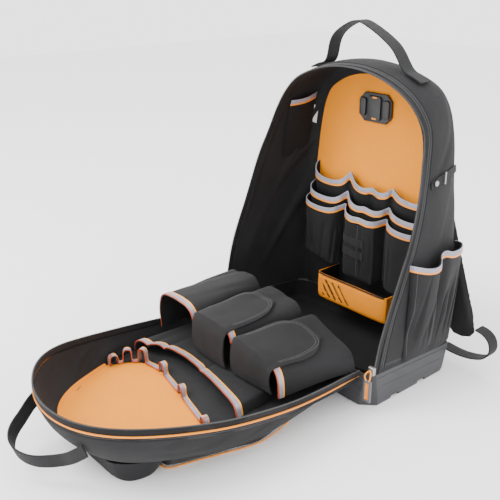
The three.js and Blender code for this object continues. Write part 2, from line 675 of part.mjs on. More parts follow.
const LID_HINGE = -BASE_DEPTH / 2 - BASE_FLARE - 3;

// Underside of the lid's floor at a share of the lid's length
const floorShare = (along) => column(LID_ROWS, 'flatRise', placeOf(LID_ROWS, 'flatAlong', along));

// A point of the lid's outside: down from the rim to the floor's edge, then in to its middle
function lidAt(run, down, inside) {
  const place = run * (LID_RUN.length - 1);
  const get = (name) => column(LID_RUN, name, place);
  const slope = down ** LID_FULLNESS;
  const half = mix(get('half'), get('flatHalf'), slope) * LID_WIDTH / 2;
  const along = mix(get('along'), get('flatAlong'), slope) * LID_LENGTH;
  const reach = along > LID_TURN ? mix(along, LID_TURN, inside) : along;
  const up = down === 1 ? floorShare(reach / LID_LENGTH) : mix(get('rise'), get('flatRise'), down);
  return vec(half * (1 - inside), LID_HINGE - reach, up * LID_RISE);
}

// Share of the wall's height that a width takes, at a place round the lid
function lidShare(run, width) {
  const place = run * (LID_RUN.length - 1);
  return width / ((column(LID_RUN, 'rise', place) - column(LID_RUN, 'flatRise', place)) * LID_RISE);
}

const LID_STEPS = 30;
const LID_STATIONS = [
  { down: 0, inside: 0 }, { down: 0.3, inside: 0 }, { down: 0.6, inside: 0 }, { down: 0.85, inside: 0 },
  { down: 1, inside: 0 }, { down: 1, inside: 0.4 }, { down: 1, inside: 0.75 }, { down: 1, inside: 1 },
];
const LINED_FROM = 0;
const LINED_STATIONS = [
  { down: 0.85, inside: 0.004 }, { down: 1, inside: 0.004 },
  { down: 1, inside: 0.4 }, { down: 1, inside: 0.75 },
  { down: 1, inside: 1 },
];

function makeLid() {
  const top = ZIP_WIDTH + PIPING + 5 * SEAM;
  const last = LID_STATIONS.length - 1;
  const shell = gridSheet(LID_STEPS, last, (run, share) => {
    const { down, inside } = LID_STATIONS[Math.round(share * last)];
    return lidAt(run, mix(lidShare(run, top), 1, down), inside);
  });
  add('lid_shell', 'cloth', thicken(shell, -PADDED, 0));
  const tape = gridSheet(LID_STEPS, 1, (run, share) => lidAt(run, lidShare(run, ZIP_WIDTH * share), 0));
  add('lid_zip', 'webbing', thicken(tape, -PADDED / 2 - ZIP_TAPE / 2, ZIP_TAPE / 2 - PADDED / 2));
  const cord = gridSheet(LID_STEPS, 1, (run, share) => (
    lidAt(run, lidShare(run, ZIP_WIDTH + 3 * SEAM + PIPING * share), 0)));
  add('lid_piping', 'orange', thicken(cord, -PADDED / 2, PIPING - PADDED / 2));
  const lined = LID_STEPS - 2 * LINED_FROM;
  const lining = gridSheet(lined, LINED_STATIONS.length - 1, (part, share) => {
    const run = (LINED_FROM + part * lined) / LID_STEPS;
    const { down, inside } = LINED_STATIONS[Math.round(share * (LINED_STATIONS.length - 1))];
    return lidAt(run, mix(lidShare(run, top), 1, down), inside);
  });
  add('lid_lining', 'orange', thicken(lining, -PADDED - 4 * SEAM - LINING, -PADDED - 4 * SEAM));
}

// Hollow soft pockets under the lid, which it rests on, from their hinge ends to the tip: along of
// the lid's length, half of its half width, foot of that half width and low of the floor's height.
const OUTER_POCKETS = {
  main: [
    { along: 0.11, half: 0.76, foot: 0.86, low: 0.9 },
    { along: 0.18, half: 0.8, foot: 0.88, low: 0.72 },
    { along: 0.29, half: 0.86, foot: 0.9, low: 0.4 },
    { along: 0.4, half: 0.87, foot: 0.88, low: 0 },
    { along: 0.5, half: 0.83, foot: 0.82, low: 0 },
    { along: 0.6, half: 0.76, foot: 0.79, low: 0 },
    { along: 0.67, half: 0.7, foot: 0.79, low: 0 },
    { along: 0.71, half: 0.66, foot: 0.8, low: 0.1 },
    { along: 0.72, half: 0.65, foot: 0.82, low: 0.9 },
  ],
  tip: [
    { along: 0.735, half: 0.63, foot: 0.8, low: 0.9 },
    { along: 0.745, half: 0.62, foot: 0.82, low: 0.1 },
    { along: 0.77, half: 0.6, foot: 0.88, low: 0 },
    { along: 0.83, half: 0.53, foot: 0.94, low: 0 },
    { along: 0.865, half: 0.44, foot: 0.9, low: 0.1 },
    { along: 0.875, half: 0.4, foot: 0.86, low: 0.9 },
  ],
};

// A point of an outer pocket's outside. edge runs from 0 at its seam to 1 at its foot.
function outerPocketAt({ along, half, foot, low }, side, edge, inside) {
  const top = floorShare(along) * LID_RISE - 3 * SEAM - POCKET;
  const x = mix(half, half * foot, edge) * LID_WIDTH / 2 * (1 - inside);
  return vec(side * x, LID_HINGE - along * LID_LENGTH, mix(top, top * low, smooth(clamp(edge * 1.1))));
}

function makeOuterPockets() {
  const profile = [
    { side: -1, edge: 0, inside: 0 }, { side: -1, edge: 0.55, inside: 0 }, { side: -1, edge: 1, inside: 0 },
    { side: -1, edge: 1, inside: 0.5 }, { side: 1, edge: 1, inside: 0.5 }, { side: 1, edge: 1, inside: 0 },
    { side: 1, edge: 0.55, inside: 0 }, { side: 1, edge: 0, inside: 0 },
  ];
  for (const [name, rows] of Object.entries(OUTER_POCKETS)) {
    const sheet = gridSheet(profile.length - 1, rows.length - 1, (across, along) => {
      const { side, edge, inside } = profile[Math.round(across * (profile.length - 1))];
      return outerPocketAt(rows[Math.round(along * (rows.length - 1))], side, edge, inside);
    });
    add(`outer_pocket_${name}`, 'cloth', thicken(sheet, -POCKET, 0));
  }
  const half = PIPING / 2 - SEAM;
  const low = half + 2 * SEAM;
  const run = OUTER_POCKETS.main.slice(1, 8).map((row) => {
    const foot = outerPocketAt(row, 1, 1, 0);
    return vec(foot.x + 2 * half + 3, foot.y, Math.max(low, row.low < 0.2 ? low : foot.z));
  });
  run.push(vec(run.at(-1).x - 12, LID_HINGE - 0.7275 * LID_LENGTH, low));
  add('outer_piping', 'orange', cordThrough([...run, ...run.map(mirrored).reverse()], half));
}

// Height of the lid's inner floor at a depth
function lidFloor(y) {
  return floorShare((LID_HINGE - y) / LID_LENGTH) * LID_RISE + PADDED + LINING + 5 * SEAM;
}

// Cloth hinge from the base's front rim to the lid's floor
function makeHinge() {
  const half = 0.74 * LID_WIDTH / 2;
  const front = -BASE_DEPTH / 2 - BASE_FLARE;
  const steps = [
    { y: front - SEAM, z: BASE_HEIGHT - 2 },
    { y: front - 1.5, z: BASE_HEIGHT - 12 },
    { y: front - 6, z: lidFloor(LID_HINGE - 6) + SEAM },
    { y: front - 18, z: lidFloor(LID_HINGE - 18) + SEAM },
  ];
  const sheet = gridSheet(1, steps.length - 1, (across, along) => {
    const step = steps[Math.round(along * (steps.length - 1))];
    return vec(mix(half, -half, across), step.y, step.z);
  });
  add('lid_hinge', 'cloth', thicken(sheet, 0, POCKET));
}

// A row of cloth arches over the lid's floor, from left to right: across of the row's half width,
// up of its height and ahead of how far its ends stand forward.
const ARCH_FOLDS = [
  { across: -1, up: 0, ahead: 1 }, { across: -0.99, up: 0.62, ahead: 1 },
  { across: -0.96, up: 0.98, ahead: 0.95 },
  { across: -0.89, up: 1, ahead: 0.8 }, { across: -0.835, up: 0.76, ahead: 0.7 },
  { across: -0.78, up: 1, ahead: 0.6 }, { across: -0.71, up: 1.02, ahead: 0.3 },
  { across: -0.65, up: 0.76, ahead: 0.2 }, { across: -0.59, up: 1, ahead: 0.1 },
  { across: -0.36, up: 1.04, ahead: 0 }, { across: -0.09, up: 0.98, ahead: 0.05 },
  { across: -0.02, up: 0.74, ahead: 0.1 }, { across: 0.05, up: 0.98, ahead: 0.2 },
  { across: 0.34, up: 1.04, ahead: 0.5 }, { across: 0.68, up: 0.94, ahead: 0.9 },
  { across: 0.74, up: 0.6, ahead: 1 }, { across: 0.76, up: 0, ahead: 1 },
];
const LOOP_PANEL = { rear: -292, half: 150 };
const ARCH_ROW = { half: 156, rearHalf: 142, top: 67, rear: -130, front: -304, ahead: 30 };

function archAt(across, forward) {
  const place = across * (ARCH_FOLDS.length - 1);
  const x = column(ARCH_FOLDS, 'across', place) * mix(ARCH_ROW.rearHalf, ARCH_ROW.half, forward);
  const y = mix(ARCH_ROW.rear, ARCH_ROW.front - column(ARCH_FOLDS, 'ahead', place) * ARCH_ROW.ahead, forward);
  const fold = Math.max(0, column(ARCH_FOLDS, 'up', place));
  const open = smooth(clamp((forward - 0.6) / 0.4));
  const floor = lidFloor(y) + POCKET + (y < LOOP_PANEL.rear ? POCKET + 2 * SEAM : 0);
  return vec(x, y, mix(floor, ARCH_ROW.top, mix(Math.min(fold * 1.5, 0.96), fold, open)));
}

function makeArchRow() {
  add('lid_pocket_row', 'cloth', thicken(gridSheet(32, 3, archAt), -POCKET, 0));
  const share = TAPE_WIDTH / (ARCH_ROW.rear - ARCH_ROW.front);
  const tape = gridSheet(32, 1, (across, forward) => (
    archAt(across, 2 / 3).lerp(archAt(across, 1), mix(1 - 3 * share, 1, forward))));
  add('lid_pocket_row_trim', 'tape', thicken(tape, -POCKET - 3 * SEAM - TAPE, -POCKET - 3 * SEAM));
}

// Tape along the front edge of a cloth panel on the lid's floor, raised to small tool loops
const LOOP_LINE = [
  { x: -146, y: -394, tall: 0 }, { x: -145, y: -386, tall: 18 }, { x: -143, y: -375, tall: 0 },
  { x: -137, y: -363, tall: 24 }, { x: -129, y: -353, tall: 0 }, { x: -117, y: -344, tall: 25 },
  { x: -92, y: -337, tall: 0 }, { x: -64, y: -338, tall: 19 }, { x: -26, y: -345, tall: 0 },
  { x: 10, y: -353, tall: 17 }, { x: 56, y: -365, tall: 0 }, { x: 97, y: -376, tall: 14 },
  { x: 108, y: -379, tall: 0 },
];
const LOOP_PROFILE = [
  { along: -7, up: 0 }, { along: -7, up: 0.8 }, { along: -3.5, up: 1 },
  { along: 3.5, up: 1 }, { along: 7, up: 0.8 }, { along: 7, up: 0 },
];
const LOOP_TAPE_WIDTH = 9;

function makeLoopTape() {
  const rows = LOOP_LINE.flatMap((row, k) => {
    const before = LOOP_LINE[Math.max(0, k - 1)];
    const after = LOOP_LINE[Math.min(LOOP_LINE.length - 1, k + 1)];
    const way = vec(after.x - before.x, after.y - before.y, 0).normalize();
    const profile = row.tall > 0 ? LOOP_PROFILE : [{ along: 0, up: 0 }];
    return profile.map(({ along, up }) => ({ ...row, way, along, up }));
  });
  const tape = gridSheet(1, rows.length - 1, (across, share) => {
    const { x, y, way, along, up, tall } = rows[Math.round(share * (rows.length - 1))];
    const reach = (across - 0.5) * LOOP_TAPE_WIDTH;
    const z = lidFloor(y) + POCKET + 2 * SEAM + up * tall;
    return vec(x + way.x * along + way.y * reach, y + way.y * along - way.x * reach, z);
  });
  add('loop_tape', 'tape', thicken(tape, 0, TAPE));
  const last = LOOP_LINE.length - 1;
  const panel = gridSheet(last, 2, (across, back) => {
    const { x, y } = LOOP_LINE[Math.round(across * last)];
    const there = mix(y, LOOP_PANEL.rear, back);
    return vec(mix(x, mix(-LOOP_PANEL.half, LOOP_PANEL.half, across), back), there, lidFloor(there));
  });
  add('loop_panel', 'cloth', thicken(panel, 0, POCKET));
}

// Three box pouches, hinge end first: left and right edges and the heights of their tops there,
// and the part of the mouth's arch that the tape runs over, short of the neighbours.
const POUCHES = [
  { name: 'left', rear: [-164, -62], rearTop: [148, 159], front: [-166, -68], frontTop: [140, 143],
    flap: 0, taped: [0, 0.84] },
  { name: 'middle', rear: [-57, 49], rearTop: [154, 145], front: [-63, 34], frontTop: [144, 139],
    flap: 1, taped: [0.16, 0.84] },
  { name: 'right', rear: [55, 162], rearTop: [143, 104], front: [40, 143], frontTop: [139, 114],
    flap: 1, taped: [0.16, 1] },
];

// Cross-section of a pouch: a box with round shoulders, of this fullness
const POUCH_FULLNESS = 0.42;

// A point of a pouch's outside: side from -1 to 1 across it, forward from the hinge to the mouth
function pouchPoint(pouch, side, forward, tall) {
  const share = 0.5 + 0.5 * side;
  const left = mix(pouch.rear[0], pouch.front[0], forward);
  const right = mix(pouch.rear[1], pouch.front[1], forward);
  const rearTop = mix(pouch.rearTop[0], pouch.rearTop[1], share);
  const top = mix(rearTop, mix(pouch.frontTop[0], pouch.frontTop[1], share), forward);
  const y = mix(POUCH_BACK, POUCH_FRONT, forward);
  return vec(mix(left, right, share), y, mix(POUCH_FLOOR + SEAM, top, tall));
}

function pouchAt(pouch, across, forward, lift) {
  const turn = Math.PI * (1 - across);
  const round = (c) => Math.sign(c) * Math.abs(c) ** POUCH_FULLNESS;
  return pouchPoint(pouch, round(Math.cos(turn)), forward, round(Math.max(0, Math.sin(turn))) * lift);
}

// The top of a pouch at a side share
function pouchTop(pouch, side, forward) {
  const power = 2 / POUCH_FULLNESS;
  return pouchPoint(pouch, side, forward, (1 - Math.abs(side) ** power) ** (1 / power));
}

function makePouches() {
  const stations = [[0, 0.02], [0, 0.5], [0.012, 1], [0.5, 1], [1, 1]];
  for (const pouch of POUCHES) {
    const at = (across, share) => {
      const [forward, lift] = stations[Math.round(share * (stations.length - 1))];
      return pouchAt(pouch, across, forward, lift);
    };
    add(`pouch_${pouch.name}`, 'cloth', thicken(gridSheet(14, stations.length - 1, at), -POCKET, 0));
    const share = TAPE_WIDTH / (POUCH_BACK - POUCH_FRONT);
    const tape = gridSheet(14, 1, (across, forward) => (
      pouchAt(pouch, mix(...pouch.taped, across), mix(1 - share, 1, forward), 1)));
    add(`pouch_${pouch.name}_trim`, 'tape', thicken(tape, -POCKET - SEAM - TAPE, -POCKET - SEAM));
    if (pouch.flap) makeFlap(pouch);
  }
}

// A flap sewn in front of a pouch, over its mouth and onto its top, with a round end
const FLAP_HALF = 0.86;
const FLAP_REACH = 0.78;
const FLAP_FOLD = 0.36;

function makeFlap(pouch) {
  const sheet = gridSheet(6, 8, (across, along) => {
    const lying = clamp((along - FLAP_FOLD) / (1 - FLAP_FOLD));
    const standing = clamp(along / FLAP_FOLD);
    const round = Math.sqrt(Math.max(0.06, 1 - Math.max(0, lying * 1.9 - 0.95) ** 2));
    const side = FLAP_HALF * round * Math.sin(Math.PI * (across - 0.5));
    const at = pouchTop(pouch, side, 1 - FLAP_REACH * lying);
    const away = (1 - smooth(lying)) * (5 + 7 * Math.sin(Math.PI * standing * 0.9));
    const z = at.z + POCKET + SEAM * 3 + TAPE + FLAP / 2 + 3.5 * side ** 2;
    return vec(at.x, at.y - away, mix(POUCH_FLOOR + 5, z, smooth(standing)));
  });
  add(`flap_${pouch.name}`, 'cloth', thicken(sheet, -FLAP / 2, FLAP / 2));
}

// The top handle from left to right: across of its half span, up of its rise above the mouth's top.
const HANDLE_ROWS = [
  { across: -1.03, up: 0.43 }, { across: -0.87, up: 0.65 }, { across: -0.51, up: 0.86 },
  { across: -0.26, up: 0.93 }, { across: 0.08, up: 0.82 }, { across: 0.51, up: 0.6 },
  { across: 0.83, up: 0.37 },
];

function makeTopHandle() {
  const seat = (z) => offSide(HANDLE_BACK, z, SEAM * 5 + WEBBING / 2);
  const ends = [seat(BAG_HEIGHT - 26), seat(BAG_HEIGHT - 18), seat(BAG_HEIGHT - 12)];
  const rows = HANDLE_ROWS.map(({ across, up }) => (
    vec(across * HANDLE_SPAN / 2, HANDLE_BACK, BAG_HEIGHT + up * HANDLE_RISE)));
  const line = smoothLine([...ends.map(mirrored), ...rows, ...[...ends].reverse()]);
  add('top_handle', 'webbing', band(line, () => vec(0, 1, 0), WEBBING_WIDTH, WEBBING, 26));
}

// Webbing handle on the lid's tip, sagging toward the floor
const LID_HANDLE = [
  { x: -95.4, y: -544.2, z: 74 }, { x: -88, y: -563, z: 68 }, { x: -78, y: -580, z: 60 },
  { x: -68, y: -600, z: 50 }, { x: -50, y: -613, z: 42 }, { x: -26, y: -614, z: 38 },
  { x: -2, y: -604, z: 36 }, { x: 14, y: -590, z: 37 }, { x: 32, y: -574, z: 42 },
  { x: 50, y: -568, z: 54 }, { x: 70, y: -558.2, z: 71 },
];

function makeLidHandle() {
  const line = smoothLine(LID_HANDLE.map(({ x, y, z }) => vec(x, y, z)));
  add('lid_handle', 'webbing', band(line, () => vec(0, -0.35, 1), LOOP_WEBBING_WIDTH, WEBBING, 22));
}

// Padded shoulder straps, the right one from its top down, and the webbing that ends them
// behind is the distance behind the rear wall.
const STRAP_LINE = [
  { x: 46, behind: 6, z: 474 }, { x: 52, behind: 29, z: 424 }, { x: 68, behind: 56, z: 350 },
  { x: 96, behind: 63, z: 270 }, { x: 130, behind: 52, z: 200 }, { x: 162, behind: 38, z: 140 },
  { x: 186, behind: 28, z: 96 }, { x: 196, behind: 23, z: 50 },
];
const WEBBING_LINE = [
  { x: 226.5, behind: 23, z: 85 }, { x: 242, behind: 22, z: 83 }, { x: 256, behind: 20, z: 75 },
  { x: 262, behind: 18, z: 59 }, { x: 254, behind: 16, z: 43 }, { x: 232, behind: 15, z: 33 },
  { x: 200, behind: 13.5, z: 29 }, { x: 168, behind: 12.9, z: 32 },
];

function makeStraps() {
  for (const side of ['right', 'left']) {
    const turn = side === 'right' ? (p) => p : mirrored;
    const lineOf = (rows) => smoothLine(rows.map(({ x, behind, z }) => turn(vec(x, REAR + behind, z))));
    const strap = lineOf(STRAP_LINE);
    const across = (share) => {
      const way = strap.getTangent(share);
      return vec(-way.z, 0, way.x);
    };
    add(`shoulder_strap_${side}`, 'cloth', band(strap, across, STRAP_WIDTH, STRAP_THICKNESS, 12));
    const loop = band(lineOf(WEBBING_LINE), () => vec(0, 1, 0), LOOP_WEBBING_WIDTH, WEBBING, 16);
    add(`strap_webbing_${side}`, 'webbing', loop);
  }
}

// Padded panels on the outside of the rear wall
const BACK_PADS = [
  { name: 'upper', low: 270, high: 420, half: 118 },
  { name: 'lower', low: 96, high: 250, half: 142 },
];

function makeBackPads() {
  const seat = REAR + BASE_DEPTH * 0.003 + SEAM;
  for (const { name, low, high, half } of BACK_PADS) {
    const ring = (inset, y) => cutRectangle(half - inset, (high - low) / 2 - inset, 24, () => 0)
      .map(({ x, y: z }) => vec(-x, y, z + (low + high) / 2));
    const rings = [ring(0, seat), ring(0, seat + BACK_PAD * 0.6), ring(8, seat + BACK_PAD)];
    add(`back_pad_${name}`, 'cloth', loft(rings));
  }
}

// A slider at each lower end of the mouth's zip, with a cord loop and a rubber grip hanging from it
function makeZipPulls() {
  const foot = shellAt(0, 0, 1);
  const low = BASE_HEIGHT + 3;
  for (const side of ['right', 'left']) {
    const turn = side === 'right' ? 1 : -1;
    const box = (x, halfX, rear, deep, bottom, top) => {
      const xs = [turn * x - halfX, turn * x + halfX];
      return block(vec(xs[0], rear - deep, bottom), vec(xs[1], rear, top));
    };
    const x = foot.x - 2;
    const front = foot.y - SEAM - SLIDER_DEPTH;
    const slider = box(x, SLIDER_WIDTH / 2, foot.y - SEAM, SLIDER_DEPTH, low, low + SLIDER_HEIGHT);
    add(`zip_slider_${side}`, 'metal', slider);
    const line = smoothLine([
      vec(turn * x, front - 1.3, low + SLIDER_HEIGHT * 0.7),
      vec(turn * x, front - 4, low), vec(turn * x, front - 5, low - 8),
    ]);
    const cord = band(line, () => vec(1, 0, 0), 6, TAPE * 2, 4);
    add(`zip_cord_${side}`, 'orange', cord);
    add(`zip_grip_${side}`, 'rubber', box(x, GRIP_WIDTH / 2, front - 5 + GRIP_THICKNESS / 2, GRIP_THICKNESS,
      low - 8 - SEAM - GRIP_LENGTH, low - 8 - SEAM));
  }
}

makeBase();
makeInnerTub();
makeShell();
makeBackLining();
makeClipBracket();
makeOrganiser();
makeRibbedPocket();
makeWallPocket();
makeSidePockets();
makeSideFittings();
makeLid();
makeOuterPockets();
makeHinge();
makeArchRow();
makeLoopTape();
makePouches();
makeTopHandle();
makeLidHandle();
makeStraps();
makeBackPads();
makeZipPulls();

export default group;
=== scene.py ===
"""Looks of a tool backpack that stands on its moulded base with its front lid opened to the floor.

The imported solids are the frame. Each cloth, webbing, tape and plastic solid is shown by a finer
piece in the same place, and the seams, zip teeth and fittings are laid on those pieces.
"""
import math

import bpy
import numpy as np
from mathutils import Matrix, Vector
from mathutils.bvhtree import BVHTree


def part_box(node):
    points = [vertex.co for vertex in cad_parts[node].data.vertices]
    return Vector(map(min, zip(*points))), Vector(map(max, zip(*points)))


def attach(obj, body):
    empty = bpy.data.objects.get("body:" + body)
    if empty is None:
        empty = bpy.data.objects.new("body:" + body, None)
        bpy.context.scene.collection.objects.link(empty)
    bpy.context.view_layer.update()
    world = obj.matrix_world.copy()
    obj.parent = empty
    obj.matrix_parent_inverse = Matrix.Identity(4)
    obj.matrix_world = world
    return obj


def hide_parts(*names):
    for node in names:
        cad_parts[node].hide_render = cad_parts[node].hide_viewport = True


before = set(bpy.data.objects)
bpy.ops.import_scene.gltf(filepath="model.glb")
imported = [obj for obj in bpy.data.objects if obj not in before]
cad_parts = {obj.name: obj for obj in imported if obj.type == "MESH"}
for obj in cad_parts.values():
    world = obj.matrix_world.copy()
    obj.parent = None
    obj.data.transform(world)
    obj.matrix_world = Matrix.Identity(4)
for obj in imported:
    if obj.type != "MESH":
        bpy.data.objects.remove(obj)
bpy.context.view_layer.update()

bl_info = {
    "name": "Tool backpack looks",
    "version": (1, 0, 0),
    "blender": (4, 5, 0),
    "location": "View3D > Sidebar > Backpack",
    "description": "Cloth, tape, webbing and moulded pieces of an opened tool backpack",
    "category": "Object",
}

MM = 0.001
SIDES = (("right", 1), ("left", -1))


# ---------------------------------------------------------------- measures of the bag's outline

# Millimetres, as the solids have them
HALF_DEPTH = 110
MOUTH_HALF = 197
REAR_HALF = 191
SETBACK = 120
BASE_TOP = 64
BASE_REAR_DROP = 10
MOUTH_RISE = 461
REAR_RISE = 464
LID_HINGE = -114
LID_HALF = 180
LID_LENGTH = 465
LID_RISE = 118
POUCH_BACK = -122
POUCH_FRONT = -272
FLAP_HALF = 0.86
FLAP_REACH = 0.78


def rows(names, *values):
    """The rows of a table as dicts, from its column names and values."""
    keys = names.split()
    return [dict(zip(keys, row)) for row in values]


SHELL_ROWS = rows("up half back rear_up rear_half",
    (0, 0.968, 0.06, 0, 0.994), (0.06, 0.977, 0.085, 0.06, 1), (0.14, 0.986, 0.135, 0.14, 1),
    (0.273, 1, 0.28, 0.265, 0.975), (0.447, 0.991, 0.555, 0.43, 0.95),
    (0.599, 0.966, 0.74, 0.575, 0.91), (0.707, 0.91, 0.875, 0.69, 0.875),
    (0.816, 0.848, 0.99, 0.807, 0.83), (0.891, 0.721, 0.995, 0.888, 0.765),
    (0.94, 0.575, 0.98, 0.938, 0.665), (0.975, 0.38, 0.98, 0.97, 0.46),
    (0.994, 0.19, 0.975, 0.992, 0.23), (1, 0, 0.97, 1, 0))
LID_ROWS = rows("along half rise flat_along flat_half flat_rise",
    (0, 0.95, 0.59, 0.004, 0.84, 0.39), (0.085, 0.96, 0.607, 0.085, 0.86, 0.38),
    (0.19, 0.983, 0.636, 0.188, 0.89, 0.37), (0.32, 1, 0.678, 0.315, 0.94, 0.35),
    (0.448, 0.993, 0.74, 0.437, 0.94, 0.335), (0.576, 0.965, 0.81, 0.55, 0.89, 0.315),
    (0.682, 0.915, 0.885, 0.645, 0.81, 0.305), (0.778, 0.845, 0.955, 0.727, 0.72, 0.305),
    (0.853, 0.75, 0.992, 0.792, 0.62, 0.305), (0.91, 0.625, 1, 0.845, 0.51, 0.305),
    (0.955, 0.46, 0.99, 0.88, 0.38, 0.305), (0.988, 0.25, 0.98, 0.903, 0.2, 0.305),
    (1, 0, 0.975, 0.908, 0, 0.305))
# Front edge of the cloth panel on the lid's floor; the lining is bright in front of it
LOOP_LINE = ((-170, -420), (-146, -394), (-143, -375), (-129, -353), (-92, -337), (-26, -345),
             (56, -365), (108, -379), (170, -402))
# Pouches that have a flap: left and right edges and the heights of their tops there
POUCHES = rows("name rear rear_top front front_top",
    ("middle", (-57, 49), (154, 145), (-63, 34), (144, 139)),
    ("right", (55, 162), (143, 104), (40, 143), (139, 114)))


def column(table, name, place):
    """Smooth value of one column of a table, at a place from 0 to the last row's number."""
    row = max(0, min(int(math.floor(place)), len(table) - 2))
    p, q, r, s = (table[max(0, min(len(table) - 1, row + k))][name] for k in (-1, 0, 1, 2))
    f = place - row
    return q + 0.5 * f * (r - p + f * (2 * p - 5 * q + 4 * r - s + f * (3 * (q - r) + s - p)))


def both_sides(table, names):
    """A right half's rows and their mirror image, as one run from right to left."""
    left = [dict(row, **{n: -row[n] for n in names}) for row in reversed(table[:-1])]
    return table + left


SHELL_ARCH = both_sides(SHELL_ROWS, ("half", "rear_half"))
LID_RUN = both_sides(LID_ROWS, ("half", "flat_half"))


def mix(a, b, t):
    return a + (b - a) * t


def smooth(t):
    t = np.clip(t, 0.0, 1.0)
    return t * t * (3 - 2 * t)


def mouth_at(arch, behind=0.0, grow=0.0):
    """A point of the bag's mouth, behind its front edge, in metres. arch runs over it from 0 to 1."""
    place = arch * (len(SHELL_ARCH) - 1)
    front = column(SHELL_ARCH, "back", place) * SETBACK - HALF_DEPTH
    depth = behind * 1000 / (HALF_DEPTH - front)
    x = mix(column(SHELL_ARCH, "half", place) * MOUTH_HALF,
            column(SHELL_ARCH, "rear_half", place) * REAR_HALF, depth)
    up = mix(column(SHELL_ARCH, "up", place), column(SHELL_ARCH, "rear_up", place), depth)
    y = mix(front, HALF_DEPTH, depth)
    low = BASE_TOP - BASE_REAR_DROP * (y / (2 * HALF_DEPTH) + 0.5) * (1 - up) ** 2
    z = low + up * mix(MOUTH_RISE, REAR_RISE, depth) + 0.3
    centre = Vector((0.0, y, min(z, 300.0)))
    point = Vector((x, y, z))
    away = (point - centre).normalized()
    return (point + away * grow * 1000) * MM, away


def lid_rim_at(run, down=0.0, grow=0.0):
    """A point of the lid's rim, down its wall, in metres. run goes round it from 0 to 1."""
    place = run * (len(LID_RUN) - 1)
    half = column(LID_RUN, "half", place) * LID_HALF
    along = column(LID_RUN, "along", place) * LID_LENGTH
    rise = column(LID_RUN, "rise", place) * LID_RISE
    point = Vector((half, LID_HINGE - along, rise - down * 1000))
    away = (point - Vector((0.0, LID_HINGE - min(along, 300.0), point.z))).normalized()
    return (point + away * grow * 1000) * MM, away


def pouch_top(pouch, side, forward):
    """A point of a pouch's top in metres, side from -1 to 1, forward from its rear to its mouth."""
    share = 0.5 + 0.5 * side
    left = mix(pouch["rear"][0], pouch["front"][0], forward)
    right = mix(pouch["rear"][1], pouch["front"][1], forward)
    rear = mix(*pouch["rear_top"], share)
    top = mix(rear, mix(*pouch["front_top"], share), forward)
    return Vector((mix(left, right, share), mix(POUCH_BACK, POUCH_FRONT, forward), top)) * MM


# ---------------------------------------------------------------- settings

def tint(name, description, default):
    return bpy.props.FloatVectorProperty(
        name=name, description=description, subtype="COLOR", default=default, min=0, max=1)


def span(name, description, default):
    return bpy.props.FloatProperty(
        name=name, description=description, default=default, unit="LENGTH", subtype="DISTANCE")


class BackpackCloth(bpy.types.PropertyGroup):
    """Colours and folds of the bag's cloth"""
    charcoal: tint("Charcoal", "Colour of the outer cloth", (0.0115, 0.0115, 0.0125))
    lining: tint("Lining", "Colour of the bright lining", (0.86, 0.27, 0.004))
    weave: span("Weave", "Distance from thread to thread", 1.3 * MM)
    fold_size: span("Fold size", "Distance from one soft fold to the next", 62 * MM)
    fold_depth: span("Fold depth", "How far a soft fold stands off the cut shape", 2.2 * MM)


class BackpackTrim(bpy.types.PropertyGroup):
    """Tape, webbing, thread and zips"""
    tape: tint("Tape", "Colour of the reflective tape", (0.25, 0.245, 0.3))
    webbing: tint("Webbing", "Colour of the webbing", (0.009, 0.009, 0.01))
    stitch_length: span("Stitch", "Length of one stitch", 3.4 * MM)
    stitch_gap: span("Stitch gap", "Gap between two stitches", 1.0 * MM)
    thread: span("Thread", "Thickness of the sewing thread", 0.8 * MM)
    tooth_pitch: span("Tooth pitch", "Distance from one zip tooth to the next", 3.0 * MM)


class BackpackStudio(bpy.types.PropertyGroup):
    """Floor and lamps"""
    distance: span("Floor", "Width of the pale floor", 9.0)
    sky: bpy.props.FloatProperty(
        name="Sky", description="Strength of the even light", default=2.7, min=0)
    key: bpy.props.FloatProperty(
        name="Key", description="Power of the main lamp", default=70.0, unit="POWER")
    fill: bpy.props.FloatProperty(
        name="Fill", description="Power of the side lamp", default=10.0, unit="POWER")


# ---------------------------------------------------------------- modelling helpers

def deselect():
    """Leaves nothing selected and no edit mode on."""
    active = bpy.context.view_layer.objects.active
    if active is not None and active.mode != "OBJECT":
        bpy.ops.object.mode_set(mode="OBJECT")
    bpy.ops.object.select_all(action="DESELECT")


def pick(piece):
    """Selects one piece alone and makes it active."""
    deselect()
    piece.select_set(True)
    bpy.context.view_layer.objects.active = piece


def apply(piece, kind, **settings):
    """Adds a modifier with these settings and applies it."""
    pick(piece)
    modifier = piece.modifiers.new(kind.title(), kind)
    for key, value in settings.items():
        setattr(modifier, key, value)
    bpy.ops.object.modifier_apply(modifier=modifier.name)


def coordinates(piece):
    points = np.empty(len(piece.data.vertices) * 3)
    piece.data.vertices.foreach_get("co", points)
    return points.reshape(-1, 3)


def place(piece, points):
    piece.data.vertices.foreach_set("co", np.ascontiguousarray(points, dtype=np.float32).ravel())
    piece.data.update()


def copy_of(node, name):
    """A merged copy of one solid of the frame, its triangles joined to four-sided faces."""
    piece = bpy.data.objects.new(name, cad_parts[node].data.copy())
    piece.data.name = name
    bpy.context.scene.collection.objects.link(piece)
    piece.data.materials.clear()
    pick(piece)
    bpy.ops.object.mode_set(mode="EDIT")
    bpy.ops.mesh.select_all(action="SELECT")
    bpy.ops.mesh.remove_doubles(threshold=0.02 * MM)
    bpy.ops.mesh.tris_convert_to_quads(
        face_threshold=math.radians(60), shape_threshold=math.radians(70))
    bpy.ops.object.mode_set(mode="OBJECT")
    return piece


